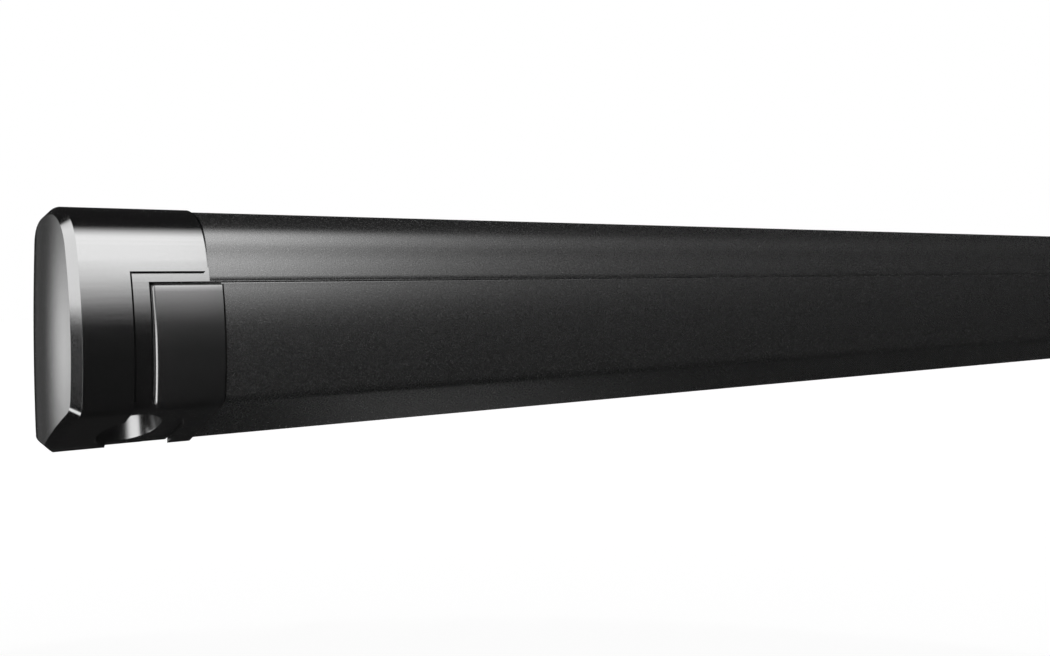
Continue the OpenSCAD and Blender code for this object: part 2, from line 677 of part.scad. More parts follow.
module lead_rail() color(anthracite) place() difference() {
    lead_rail_bars();
    along_x(-half_length, keder_y, keder_z) cylinder(h = awning_length, r = keder_r + keder_gap);
    slot = keder_r * keder_slot_share;
    bar(half_length, [keder_y - slot, keder_z], [keder_y + slot, keder_z + keder_tube_r + over]);
    leg_pin_hole(half_length - leg_x);
}
module leg_pins() color(steel) place() leg_pin_hole(half_length - leg_x);

// Rail cap: a lofted skin with rounded edges on an end plate
cap_inner = shell_inset + rail_wall;
round_steps = 4;
function rounded_in(turn) = rail_cap_round * (1 - cos(turn));
function rail_cap_path(inset, top) =
    concat(low_front(inset, 0, top - rail_cap_round),
           [for (turn = [45, 90]) front_point(top - rounded_in(90 - turn), inset + rounded_in(turn))]);
function rail_cap_ring(x, inset, top) =
    let (low_y = rail_foot_y - rail_wall, inner_top = rail_top - rail_cap_round,
         inside = concat([[low_y, chamfer_height(low_y, cap_inner)]], crease_curve(cap_inner),
                         arc(front_r, front_z, front_r - cap_inner,
                             front_angle(crease(cap_inner)[1] + crease_round + over, cap_inner),
                             front_angle(inner_top - rail_cap_round, cap_inner)),
                         [for (turn = [45, 90]) front_point(inner_top - rounded_in(90 - turn), cap_inner)]))
    [for (p = band(rail_cap_path(inset, top), inside)) [x, p[0], p[1]]];
module loft(rings) {
    n = len(rings[0]);
    sides = [for (k = [0 : len(rings) - 2], j = [0 : n - 1]) let (m = (j + 1) % n, a = k * n, b = a + n)
             each [[a + j, a + m, b + j], [a + m, b + m, b + j]]];
    last = (len(rings) - 1) * n;
    strip = [0 : n / 2 - 2];
    base = [for (j = strip) each [[j + 1, j, n - 2 - j], [n - 2 - j, j, n - 1 - j]]];
    end = [for (j = strip) let (k = last + j, m = last + n - 2 - j) each [[k, k + 1, m], [k, m, m + 1]]];
    polyhedron([for (r = rings) each r], concat(base, sides, end));
}
cap_start = cap_w + frame_rim_w + rail_cap_gap;
notch_gap = 1.5;
notch_top = 33;
cap_plate_t = 3;
cap_tenon = 18;
module rail_cap() {
    out = shell_inset - rail_cap_proud;
    loft(concat([for (turn = [90 : -90 / round_steps : 0])
                 rail_cap_ring(cap_start + rounded_in(90 - turn), out + rounded_in(turn),
                               rail_top - rounded_in(turn))],
                [rail_cap_ring(cap_start + rail_cap_w, out, rail_top)]));
    // end plate over the whole rail section
    section(cap_start + rail_cap_w - cap_plate_t, cap_start + rail_cap_w - slide_gap)
        polygon(concat(low_front(shell_inset, shell_bottom, rail_web_z + rail_wall),
                       [[rail_back_y, rail_web_z + rail_wall], [rail_back_y, shelf_z + rail_wall],
                        [rail_foot_y + 2 * lane_pitch, shelf_z + rail_wall],
                        [rail_foot_y + 2 * lane_pitch, shell_bottom]]));
    // tenon inside the rail's front chamber
    tenon_y = front_point(rail_web_z, cap_inner)[0] + slide_gap;
    box([cap_start + rail_cap_w - over * 2, tenon_y, shelf_z + 2 * rail_wall],
        [cap_start + rail_cap_w + cap_tenon, rail_back_y - rail_wall - slide_gap, rail_web_z - slide_gap]);
}
module rail_cap_left() color(satin_black) place() translate([-half_length, 0, 0]) difference() {
    rail_cap();
    translate([crank_x, crank_y, -over]) cylinder(h = notch_top + over, r = crank_collar_r + notch_gap);
    box([0, crank_y, -over], [crank_x + crank_collar_r + notch_gap, wall_y, notch_top]);
}
module rail_cap_right() color(satin_black) place() right() translate([-half_length, 0, 0]) rail_cap();

// Canopy: the edge cord in its groove, and the stretch that leaves the roll
canopy_t = 0.6;
canopy_drop = 2;
tail_y = keder_y + keder_tube_r + part_gap;
module canopy_edge() color(canvas) place() section(-canopy_half, canopy_half) {
    translate([keder_y, keder_z]) circle(keder_r);
    translate([keder_y - canopy_t / 2, keder_z]) square([canopy_t, rail_top - canopy_drop - keder_z]);
}
module canopy_tail() color(canvas) place() section(-canopy_half, canopy_half)
    translate([tail_y, keder_z]) square([canopy_t, rail_top - part_gap - keder_z]);

// Support legs, drawn from their hinge along X
inner_w = leg_w - 2 * leg_wall - 2 * slide_gap;
inner_h = 16;
leg_root = 20;
collar_l = 44;
inner_out = 6;
inner_overlap = 150;
stroke_reserve = 230;
leg_stroke = leg_length - stroke_reserve;
inner_end = leg_length + collar_l + inner_out;
inner_start = leg_length + inner_out - leg_stroke - inner_overlap;
tail_guide = 30;
leg_round = 2;
shoe_l = 5;
foot_eye_t = 6;
foot_eye_r = 8;
foot_axis_x = inner_end + shoe_l + foot_eye_r + over;
foot_fork_share = 0.7;
head_tenon = 42;
lever_inset = 8;
foot_pin_r = 2.5;
lever_l = 28;
lever_w = 10;
lever_t = 2.4;
lever_r = 1.4;
lever_pin_r = 0.8;
module leg_bar(from, to, w, h, round = leg_round) translate([from, 0, 0]) rotate([90, 0, 90])
    linear_extrude(to - from) rounded_box_2d(w, h, round);
module across(x, z, w, r) translate([x, 0, z]) rotate([90, 0, 0]) cylinder(h = w, r = r, center = true);
module leg_tube() difference() {
    leg_bar(leg_root, leg_length, leg_w, leg_h);
    leg_bar(leg_root - over, leg_length + over, leg_w - 2 * leg_wall, leg_h - 2 * leg_wall, leg_wall / 2);
}
module leg_head() difference() {
    union() {
        across(0, 0, leg_w, leg_h / 2);
        leg_bar(0, leg_root, leg_w, leg_h);
        leg_bar(leg_root - over, head_tenon, inner_w, leg_h - 2 * leg_wall - 2 * slide_gap);
    }
    across(0, 0, leg_w + 2 * over, leg_pin_r + running_gap);
}
lever_x = leg_length + collar_l - lever_inset;
lever_z = -leg_h / 2 + lever_r;
module leg_collar() difference() {
    leg_bar(leg_length, leg_length + collar_l, leg_w, leg_h);
    leg_bar(leg_length - over, leg_length + collar_l + over, inner_w + 2 * slide_gap,
            inner_h + 2 * slide_gap);
    pocket = lever_w / 2 + slide_gap;
    box([lever_x - lever_l - slide_gap * 2, -pocket, -leg_h / 2 - over],
        [lever_x + lever_r + slide_gap, pocket, lever_z + lever_r + slide_gap]);
    across(lever_x, lever_z, leg_w - leg_wall, lever_pin_r + running_gap);
}
module leg_lever() {
    box([lever_x - lever_l, -lever_w / 2, -leg_h / 2], [lever_x, lever_w / 2, -leg_h / 2 + lever_t]);
    across(lever_x, lever_z, lever_w, lever_r);
    across(lever_x, lever_z, leg_w - leg_wall - 2 * slide_gap, lever_pin_r);
}
module leg_inner() {
    difference() {
        leg_bar(inner_start, inner_end, inner_w, inner_h);
        leg_bar(inner_start - over, inner_end + over, inner_w - 2 * leg_wall, inner_h - 2 * leg_wall,
                leg_wall / 2);
    }
    leg_bar(inner_start - tail_guide, inner_start, inner_w, leg_h - 2 * leg_wall - 2 * slide_gap);
}
module leg_shoe() {
    leg_bar(inner_end, inner_end + shoe_l, inner_w, inner_h);
    leg_bar(inner_end - tail_guide, inner_end, inner_w - 2 * leg_wall - 2 * slide_gap,
            inner_h - 2 * leg_wall - 2 * slide_gap, leg_wall / 2);
    across(foot_axis_x, 0, foot_eye_t, foot_eye_r);
    box([inner_end + shoe_l, -foot_eye_t / 2, -foot_eye_r], [foot_axis_x, foot_eye_t / 2, foot_eye_r]);
    across(foot_axis_x, 0, leg_w - 2 * over, foot_pin_r);
}
module foot() {
    gap = foot_eye_t / 2 + slide_gap;
    fork_end = foot_axis_x + foot_length * foot_fork_share;
    difference() {
        union() {
            across(foot_axis_x, 0, leg_w, foot_eye_r);
            box([foot_axis_x, -leg_w / 2, -foot_eye_r], [fork_end, leg_w / 2, foot_eye_r]);
            leg_bar(fork_end, foot_axis_x + foot_length, leg_w, leg_h);
        }
        box([foot_axis_x - foot_eye_r - over, -gap, -foot_eye_r - over],
            [foot_axis_x + foot_eye_r + slide_gap * 2, gap, foot_eye_r + over]);
        across(foot_axis_x, 0, leg_w + 2 * over, foot_pin_r + running_gap);
    }
}
module left_leg() translate([-half_length + leg_x, lane_y(0), leg_axis_z]) children();
module right_leg() translate([half_length - leg_x, lane_y(1), leg_axis_z]) mirror([1, 0, 0]) children();
module leg_tube_left() color(arm_silver) place() left_leg() leg_tube();
module leg_head_left() color(satin_black) place() left_leg() leg_head();
module leg_collar_left() color(satin_black) place() left_leg() leg_collar();
module leg_lever_left() color(gloss_black) place() left_leg() leg_lever();
module leg_inner_left() color(arm_silver) place() left_leg() leg_inner();
module leg_shoe_left() color(satin_black) place() left_leg() leg_shoe();
module foot_left() color(rubber) place() left_leg() foot();
module leg_tube_right() color(arm_silver) place() right_leg() leg_tube();
module leg_head_right() color(satin_black) place() right_leg() leg_head();
module leg_collar_right() color(satin_black) place() right_leg() leg_collar();
module leg_lever_right() color(gloss_black) place() right_leg() leg_lever();
module leg_inner_right() color(arm_silver) place() right_leg() leg_inner();
module leg_shoe_right() color(satin_black) place() right_leg() leg_shoe();
module foot_right() color(rubber) place() right_leg() foot();

housing_shell();
housing_cap_left();
housing_cap_right();
end_frame_left();
end_frame_right();
crank_funnel();
gearbox_housing();
bearing_block();
shoulder_bracket_left();
shoulder_bracket_right();
shoulder_pins();
wall_brackets();
roller_tube();
roller_plugs();
wound_canopy();
crank_shaft();
upper_arm_left();
shoulder_eye_left();
elbow_fork_left();
elbow_pin_left();
upper_arm_right();
shoulder_eye_right();
elbow_fork_right();
elbow_pin_right();
forearm_left();
elbow_eye_left();
wrist_eye_left();
forearm_right();
elbow_eye_right();
wrist_eye_right();
lead_rail();
rail_cap_left();
rail_cap_right();
wrist_bracket_left();
wrist_bracket_right();
wrist_pins();
leg_pins();
canopy_edge();
canopy_tail();
leg_tube_left();
leg_head_left();
leg_collar_left();
leg_inner_left();
leg_shoe_left();
foot_left();
leg_lever_left();
leg_tube_right();
leg_head_right();
leg_collar_right();
leg_inner_right();
leg_shoe_right();
foot_right();
leg_lever_right();
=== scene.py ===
import json
import math
import random

import bmesh
import bpy
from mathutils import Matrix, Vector


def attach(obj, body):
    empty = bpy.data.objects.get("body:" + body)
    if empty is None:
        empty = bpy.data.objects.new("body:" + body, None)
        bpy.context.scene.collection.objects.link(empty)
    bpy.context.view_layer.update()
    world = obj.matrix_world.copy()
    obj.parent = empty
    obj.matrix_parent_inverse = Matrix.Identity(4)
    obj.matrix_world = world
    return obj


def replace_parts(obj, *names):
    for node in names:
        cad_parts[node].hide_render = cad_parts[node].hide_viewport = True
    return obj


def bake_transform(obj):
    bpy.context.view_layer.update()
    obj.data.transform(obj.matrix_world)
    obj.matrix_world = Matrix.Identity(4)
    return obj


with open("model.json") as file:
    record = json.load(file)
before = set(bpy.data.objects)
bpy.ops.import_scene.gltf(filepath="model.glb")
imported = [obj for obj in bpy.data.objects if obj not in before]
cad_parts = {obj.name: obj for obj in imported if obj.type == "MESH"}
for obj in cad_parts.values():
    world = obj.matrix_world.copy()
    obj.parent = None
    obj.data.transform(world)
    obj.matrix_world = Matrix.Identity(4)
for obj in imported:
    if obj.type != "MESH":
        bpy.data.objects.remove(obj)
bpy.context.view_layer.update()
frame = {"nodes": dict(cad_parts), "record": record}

nodes = frame["nodes"]

# Every size below is in millimetres, in the cassette coordinates of the CAD source: X along the awning from
# its middle, Y from the foremost point back, Z from the underside up. at() takes a point to the shared frame.
MM = 0.001
WALL_Y = 112
MOUNT_Z = 70
HALF_LENGTH = 1300

# Section of the cassette
CAP_HEIGHT = 137
CAP_DEPTH = 104
FRONT_R = 199
FRONT_Z = 58
CORNER_R = 28.5
TOP_R = 129
CHAMFER_ANGLE = math.radians(27.5)
CHAMFER_Y = 53
CREASE_ROUND = 5
SHELL_INSET = 3.2
CORNER_ANGLE = math.asin((CAP_HEIGHT - CORNER_R - FRONT_Z) / (FRONT_R - CORNER_R))
CORNER_Y = FRONT_R - (FRONT_R - CORNER_R) * math.cos(CORNER_ANGLE)
CORNER_Z = CAP_HEIGHT - CORNER_R
TOP_Z = CAP_HEIGHT - TOP_R

# Housing caps and end frames
CAP_W = 34
FLAG_W = 78
FLAG_Z = 102
CAP_BEVEL = 4.2
CAP_BOTTOM = 1.2
CAP_EDGE = 0.45
SHADOW_GAP = 0.25
DOME_R = 230
DOME_UPRIGHT_R = 1800
DOME_APEX_SHARES = (0.32, 0.28)
DOME_APEX = (CAP_DEPTH * DOME_APEX_SHARES[0], CAP_HEIGHT * DOME_APEX_SHARES[1])
FRAME_RIM_W = 11
FRAME_TOP_W = 46
FRAME_UNDER_FLAG = 2

# Crank opening: its hole and collar, the plate beside it, and the guide ring with its lip, whose points lie
# inward and upward from the ring's foot
CRANK_X = 42
CRANK_Y = 34
CRANK_HOLE_R = 18.5
CRANK_COLLAR_R = 27
PLATE_R = CRANK_COLLAR_R + 2.7
PLATE_T = 3
PLATE_EDGE = 0.4
PLATE_FOOT = 0.3
FUNNEL_TOP = 48
FUNNEL_FLARE_Z = 24
THROAT_R = 11.4
THROAT_EDGE = 1.2
GUIDE_FIT = 0.04
GUIDE_STEP = 0.5
GUIDE_TAPER = 0.6
GUIDE_LIP = [(0, 0.5), (0, 0.12), (0.12, 0), (0.45, 0.1), (0.75, 0.45), (0.84, 0.9), (0.85, 1)]
CUT_FROM = -5

# Lead rail
SEAM_Z = 95.9
SEAM_GAP = 0.7
RAIL_TOP = SEAM_Z - SEAM_GAP / 2
RAIL_WALL = 2.2
SHELL_BOTTOM = 1.8
RAIL_CAP_GAP = 0.6
RAIL_CAP_W = 40.5
RAIL_CAP_PROUD = 2.4
RAIL_CAP_ROUND = 2.2
RAIL_CAP_EDGE = 0.3
RAIL_CAP_START = CAP_W + FRAME_RIM_W + RAIL_CAP_GAP
RAIL_CAP_END = RAIL_CAP_START + RAIL_CAP_W
RAIL_END_X = HALF_LENGTH - RAIL_CAP_END
SHELL_END_X = HALF_LENGTH - CAP_W - FRAME_TOP_W
RAIL_BACK_Y = 26
WEB_Z = 84
SHELF_Z = 28.2
LANES_END_Y = 99.67
END_PLATE_T = 3
TENON = 18
TENON_GAP = 0.2
NOTCH_R = CRANK_COLLAR_R + 3.3
NOTCH_TOP = 33
MOUTH_ROUND = 1.3
MOUTH_NEAR = 0.15
MOUTH_RISE = 0.6

# Powder coated skins, and the dark matt strips beside the caps, painted shade for the gaps there
SKIN = 0.12
SKIN_IN = 0.8
TOP_INSET = 1.1
SWELL_SHARE = 0.8
EDGE_R = 0.9
SEAM_LAP = 0.3
# Dark strips beside the caps, painted shade for the gaps there: how far they stand out and how wide
SHADE_STRIP_PROUD = 0.1
SHADE_STRIP_W = 2
RAIL_SHADE_STRIP_W = 1.9
LOW_Z = SEAM_Z + SEAM_GAP / 2

# Roller and canopy
ROLLER_Y = 63
ROLLER_Z = 95
ROLLER_R = 25
WOUND_R = 29.7
WOUND_TURNS = 11.5
WOUND_START = math.radians(110)
LAYER_GAP = 0.1
ROLL_RIPPLE = 0.4
ROLL_WAVE = 60
CANOPY_T = 0.4
CANOPY_HALF = 1212
KEDER_Y = 16.5
KEDER_Z = 89.54
KEDER_R = 2.6
TAIL_Y = 21.5
RUN_BELOW = 0.5
RUN_BEND_IN = 0.8
RUN_BEND_OUT = 0.4
FEED_OVER = 0.2
FEED_GAP = 0.3
FEED_RIPPLE = 0.5


def at(x, y, z):
    return Vector((x * MM, (y - WALL_Y) * MM, (z - MOUNT_Z) * MM))


# Section outlines, as (y, z) points


def arc(y, z, radius, start, end, steps):
    turns = [start + (end - start) * k / steps for k in range(steps + 1)]
    return [(y + radius * math.cos(a), z + radius * math.sin(a)) for a in turns]


def straight(a, b, steps):
    """Points from a to b, without b."""
    return [(a[0] + (b[0] - a[0]) * k / steps, a[1] + (b[1] - a[1]) * k / steps) for k in range(steps)]


def front_angle(z, inset):
    return math.pi - math.asin((z - FRONT_Z) / (FRONT_R - inset))


def front_arc(inset, low, high, steps):
    return arc(FRONT_R, FRONT_Z, FRONT_R - inset, front_angle(low, inset), front_angle(high, inset), steps)


def front_y(z, inset):
    return FRONT_R + (FRONT_R - inset) * math.cos(front_angle(z, inset))


def chamfer_at(z, inset):
    return CHAMFER_Y + (inset - z * math.cos(CHAMFER_ANGLE)) / math.sin(CHAMFER_ANGLE)


def chamfer_height(y, inset):
    return (inset - (y - CHAMFER_Y) * math.sin(CHAMFER_ANGLE)) / math.cos(CHAMFER_ANGLE)


def crease(inset):
    """Where the chamfer meets the front."""
    reach = (FRONT_R - CHAMFER_Y) * math.sin(CHAMFER_ANGLE) + FRONT_Z * math.cos(CHAMFER_ANGLE) - inset
    half_chord = math.sqrt((FRONT_R - inset) ** 2 - reach ** 2)
    return (FRONT_R - reach * math.sin(CHAMFER_ANGLE) - half_chord * math.cos(CHAMFER_ANGLE),
            FRONT_Z - reach * math.cos(CHAMFER_ANGLE) + half_chord * math.sin(CHAMFER_ANGLE))


def crease_curve(inset, steps=8):
    tip = crease(inset)
    low = (tip[0] + CREASE_ROUND * math.cos(CHAMFER_ANGLE), tip[1] - CREASE_ROUND * math.sin(CHAMFER_ANGLE))
    high = (front_y(tip[1] + CREASE_ROUND, inset), tip[1] + CREASE_ROUND)
    curve = []
    for k in range(steps + 1):
        t = k / steps
        curve.append(tuple((1 - t) ** 2 * a + 2 * t * (1 - t) * b + t * t * c
                           for a, b, c in zip(low, tip, high)))
    return curve


def low_front(inset, bottom, top, steps=24, chamfer_steps=6):
    """The chamfer from its foot, the crease and the front up to a height."""
    curve = crease_curve(inset)
    foot = (chamfer_at(bottom, inset), bottom)
    return straight(foot, curve[0], chamfer_steps) + curve + front_arc(inset, curve[-1][1], top, steps)[1:]


def top_path(inset, front, back_y):
    """The front from a height, over the corner and along the top to the back."""
    front_end = math.pi - CORNER_ANGLE
    top_end = math.acos((back_y - CORNER_Y) / (TOP_R - inset))
    return (arc(FRONT_R, FRONT_Z, FRONT_R - inset, front_angle(front, inset), front_end, 8)
            + arc(CORNER_Y, CORNER_Z, CORNER_R - inset, front_end, math.pi / 2, 14)[1:]
            + arc(CORNER_Y, TOP_Z, TOP_R - inset, math.pi / 2, top_end, 12)[1:])


def outline(inset, back_steps=12, bottom_steps=6):
    """The whole closed section of a housing cap, from the top of the back down and round, and where its
    upper path starts in that list."""
    bottom = CAP_BOTTOM + inset
    back_y = CAP_DEPTH - inset
    upper = top_path(inset, FLAG_Z, back_y)
    foot = (chamfer_at(bottom, inset), bottom)
    lower = (straight(upper[-1], (back_y, bottom), back_steps)[1:]
             + straight((back_y, bottom), foot, bottom_steps) + low_front(inset, bottom, FLAG_Z)[:-1])
    return lower + upper, len(lower)


# Meshes


class Shape:
    """Points and faces that are gathered for one object."""

    def __init__(self):
        self.points = []
        self.faces = []

    def ring(self, points):
        start = len(self.points)
        self.points.extend(points)
        return list(range(start, start + len(points)))

    def bridge(self, a, b, closed=True):
        count = len(a) if closed else len(a) - 1
        for j in range(count):
            k = (j + 1) % len(a)
            self.faces.append((a[j], a[k], b[k], b[j]))

    def face(self, ring):
        self.faces.append(tuple(ring))

    def prism(self, section, x0, x1):
        a = self.ring([(x0, y, z) for y, z in section])
        b = self.ring([(x1, y, z) for y, z in section])
        self.bridge(a, b)
        self.face(a)
        self.face(b)
        return self

    def block(self, low, high):
        (x0, y0, z0), (x1, y1, z1) = low, high
        return self.prism([(y0, z0), (y1, z0), (y1, z1), (y0, z1)], x0, x1)

    def mirrored(self):
        copy = Shape()
        copy.points = [(-x, y, z) for x, y, z in self.points]
        copy.faces = [tuple(reversed(f)) for f in self.faces]
        return copy


def solid(name, shape):
    """An object with a shape's mesh, its normals outward. By itself it only serves as a cutter."""
    mesh = bpy.data.meshes.new(name)
    mesh.from_pydata([at(*p) for p in shape.points], [], shape.faces)
    outward = bmesh.new()
    outward.from_mesh(mesh)
    bmesh.ops.recalc_face_normals(outward, faces=outward.faces)
    outward.to_mesh(mesh)
    outward.free()
    made = bpy.data.objects.new(name, mesh)
    bpy.context.scene.collection.objects.link(made)
    return made


def shade(mesh, sharp):
    """Smooth shading with sharp edges above an angle in degrees."""
    mesh.polygons.foreach_set("use_smooth", [True] * len(mesh.polygons))
    mesh.set_sharp_from_angle(angle=math.radians(sharp))


def piece(name, shape, finish, body, sharp=30):
    """A piece of the object in a finish, riding on a body if one is named."""
    made = solid(name, shape)
    shade(made.data, sharp)
    made.data.materials.append(finishes[finish])
    if body:
        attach(made, body)
    SLOTS.get(finish, finish)
    return made


def soften(made, width, segments=2, angle=28):
    """A small bevel on every sharp edge, with normals that keep the flat faces flat."""
    bevel = made.modifiers.new("edges", "BEVEL")
    bevel.width = width * MM
    bevel.segments = segments
    bevel.limit_method = "ANGLE"
    bevel.angle_limit = math.radians(angle)
    bevel.harden_normals = True


def cut(made, cutter, sharp=28):
    """Takes a cutter's volume out of a piece, and removes the cutter."""
    knife = made.modifiers.new("cut", "BOOLEAN")
    knife.operation = "DIFFERENCE"
    knife.solver = "EXACT"
    knife.object = cutter
    depsgraph = bpy.context.evaluated_depsgraph_get()
    mesh = bpy.data.meshes.new_from_object(made.evaluated_get(depsgraph))
    made.modifiers.remove(knife)
    old = made.data
    made.data = mesh
    mesh.name = old.name
    bpy.data.meshes.remove(old)
    bpy.data.objects.remove(cutter)
    shade(mesh, sharp)
    return made


def upright_prism(name, edge, top):
    """A cutter that stands on end: an outline of (x, y) points from below the cassette up to a height."""
    shape = Shape()
    rims = [shape.ring([(x, y, z) for x, y in edge]) for z in (CUT_FROM, top)]
    shape.bridge(*rims)
    for rim in rims:
        shape.face(rim)
    return solid(name, shape)


def open_crank_hole(made, sides=96):
    """Cuts the crank opening's round hole into a piece."""
    turns = [2 * math.pi * k / sides for k in range(sides)]
    edge = [(CRANK_X - HALF_LENGTH + CRANK_HOLE_R * math.cos(a), CRANK_Y + CRANK_HOLE_R * math.sin(a))
            for a in turns]
    return cut(made, upright_prism("cutter", edge, FUNNEL_TOP))


# Materials


class Maker:
    """A material with its nodes at hand."""

    def __init__(self, name, **sockets):
        self.material = bpy.data.materials.new(name)
        self.material.use_nodes = True
        self.tree = self.material.node_tree
        self.shader = self.tree.nodes["Principled BSDF"]
        for socket, value in sockets.items():
            self.shader.inputs[socket.replace("_", " ")].default_value = value

    def node(self, kind, **values):
        made = self.tree.nodes.new(kind)
        for key, value in values.items():
            if hasattr(made, key):
                setattr(made, key, value)
            else:
                made.inputs[key.replace("_", " ")].default_value = value
        return made

    def link(self, a, b):
        self.tree.links.new(a, b)

    def place(self, scale=(1, 1, 1)):
        source = self.node("ShaderNodeTexCoord")
        mapping = self.node("ShaderNodeMapping")
        mapping.inputs["Scale"].default_value = scale
        self.link(source.outputs["Object"], mapping.inputs["Vector"])
        return mapping.outputs["Vector"]

    def noise(self, scale, detail=2.0, stretch=(1, 1, 1), roughness=0.5):
        made = self.node("ShaderNodeTexNoise")
        made.inputs["Scale"].default_value = scale
        made.inputs["Detail"].default_value = detail
        made.inputs["Roughness"].default_value = roughness
        self.link(self.place(stretch), made.inputs["Vector"])
        return made.outputs["Fac"]

    def spread(self, value, low, high, out_low, out_high):
        made = self.node("ShaderNodeMapRange")
        made.inputs["From Min"].default_value = low
        made.inputs["From Max"].default_value = high
        made.inputs["To Min"].default_value = out_low
        made.inputs["To Max"].default_value = out_high
        self.link(value, made.inputs["Value"])
        return made.outputs["Result"]

    def colours(self, value, *stops):
        made = self.node("ShaderNodeValToRGB")
        ramp = made.color_ramp
        while len(ramp.elements) < len(stops):
            ramp.elements.new(0.5)
        for element, (place, colour) in zip(ramp.elements, stops):
            element.position = place
            element.color = (*colour, 1)
        self.link(value, made.inputs["Fac"])
        return made.outputs["Color"]

    def bump(self, height, distance, strength=1.0, onto=None):
        made = self.node("ShaderNodeBump")
        made.inputs["Distance"].default_value = distance * MM
        made.inputs["Strength"].default_value = strength
        self.link(height, made.inputs["Height"])
        if onto:
            self.link(onto, made.inputs["Normal"])
        return made.outputs["Normal"]

    def set(self, socket, value):
        self.link(value, self.shader.inputs[socket])


def grey(value, warm=0.0):
    return (value * (1 + warm), value, value * (1 - warm))


def powder_coat():
    m = Maker("anthracite_powder_coat", Roughness=0.26, IOR=1.55, Coat_Weight=0.6, Coat_Roughness=0.17)
    grain = m.noise(900, 3)
    flecks = m.noise(1500, 1)
    m.set("Base Color", m.colours(flecks, (0.3, grey(0.012)), (0.6, grey(0.021)), (0.72, grey(0.08))))
    m.set("Roughness", m.spread(grain, 0.3, 0.7, 0.25, 0.3))
    m.set("Normal", m.bump(grain, 0.05, 0.7))
    return m.material


def gloss_plastic():
    m = Maker("gloss_black_plastic", Roughness=0.16, IOR=1.6, Coat_Weight=1.0, Coat_Roughness=0.06,
              Coat_IOR=1.6)
    streaks = m.noise(95, 4, (0.12, 1, 1))
    dust = m.noise(1400, 2)
    m.set("Base Color", m.colours(dust, (0.4, grey(0.005)), (0.8, grey(0.01))))
    m.set("Roughness", m.spread(dust, 0.35, 0.75, 0.13, 0.24))
    m.set("Normal", m.bump(streaks, 0.2, 0.6))
    return m.material


def satin_plastic():
    m = Maker("satin_black_plastic", Roughness=0.26, IOR=1.58, Coat_Weight=0.8, Coat_Roughness=0.16)
    m.set("Base Color", m.colours(m.noise(60, 2), (0.3, grey(0.006)), (0.7, grey(0.009))))
    m.set("Roughness", m.spread(m.noise(60, 3, (0.12, 1, 1)), 0.3, 0.7, 0.235, 0.275))
    m.set("Normal", m.bump(m.noise(95, 4, (0.12, 1, 1)), 0.08, 0.4))
    return m.material


def painted_casting():
    m = Maker("painted_casting", Roughness=0.5, IOR=1.5, Coat_Weight=0.3, Coat_Roughness=0.3)
    sand = m.noise(700, 4)
    m.set("Base Color", m.colours(m.noise(25, 3), (0.3, grey(0.075, -0.04)), (0.7, grey(0.1, -0.04))))
    m.set("Roughness", m.spread(sand, 0.3, 0.7, 0.45, 0.66))
    m.set("Normal", m.bump(sand, 0.2, 0.6))
    return m.material


def zinc_steel():
    m = Maker("zinc_plated_steel", Metallic=1.0, Roughness=0.32)
    brushed = m.noise(220, 2, (1, 1, 12))
    m.set("Base Color", m.colours(m.noise(18, 3), (0.3, grey(0.46, 0.02)), (0.7, grey(0.62, 0.02))))
    m.set("Roughness", m.spread(brushed, 0.3, 0.7, 0.24, 0.42))
    m.set("Normal", m.bump(brushed, 0.05, 0.4))
    return m.material


def anodised():
    m = Maker("anodised_alloy", Metallic=0.9, Roughness=0.36)
    drawn = m.noise(900, 2, (0.01, 1, 1))
    tone = m.noise(6, 2, (0.3, 1, 1))
    m.set("Base Color", m.colours(tone, (0.3, grey(0.52, -0.01)), (0.7, grey(0.6, -0.01))))
    m.set("Roughness", m.spread(drawn, 0.3, 0.7, 0.3, 0.44))
    m.set("Normal", m.bump(drawn, 0.04, 0.5))
    return m.material


def canopy_cloth():
    m = Maker("canopy_cloth", Roughness=0.8, Sheen_Weight=0.25, Sheen_Roughness=0.5)
    warp = m.node("ShaderNodeTexWave", wave_type="BANDS", bands_direction="X")
    warp.inputs["Scale"].default_value = 420
    m.link(m.place(), warp.inputs["Vector"])
    soil = m.noise(14, 4)
    weft = m.noise(900, 2, (0.25, 1, 1))
    m.set("Base Color", m.colours(soil, (0.25, grey(0.3, 0.01)), (0.75, grey(0.37, 0.01))))
    m.set("Normal", m.bump(weft, 0.12, 0.5, m.bump(warp.outputs["Fac"], 0.1, 0.5)))
    return m.material


def rubber():
    m = Maker("foot_rubber", Roughness=0.75, IOR=1.45, Specular_IOR_Level=0.3)
    grain = m.noise(600, 3)
    m.set("Base Color", m.colours(m.noise(40, 3), (0.3, grey(0.012)), (0.7, grey(0.024))))
    m.set("Normal", m.bump(grain, 0.15, 0.6))
    return m.material


# A near-black matt finish for the strips beside the caps: painted shade that stands for the gaps there
def painted_shade_finish():
    m = Maker("painted_shade_black", Roughness=0.9, IOR=1.45, Specular_IOR_Level=0.08)
    m.set("Base Color", m.colours(m.noise(300, 2), (0.3, grey(0.002)), (0.7, grey(0.004))))
    m.set("Normal", m.bump(m.noise(700, 2), 0.05, 0.4))
    return m.material


finishes = {
    "anthracite_coat": powder_coat(), "gloss_black": gloss_plastic(), "satin_black": satin_plastic(),
    "cast_alloy": painted_casting(), "steel": zinc_steel(), "anodised_alloy": anodised(),
    "canopy_fabric": canopy_cloth(), "foot_rubber": rubber(), "painted_shade": painted_shade_finish(),
}
# The record's slot for a finish that has none of its own
SLOTS = {"painted_shade": "satin_black"}


# Housing caps


def sag(y, z):
    return (DOME_R - math.sqrt(DOME_R ** 2 - (y - DOME_APEX[0]) ** 2)
            + DOME_UPRIGHT_R - math.sqrt(DOME_UPRIGHT_R ** 2 - (z - DOME_APEX[1]) ** 2))


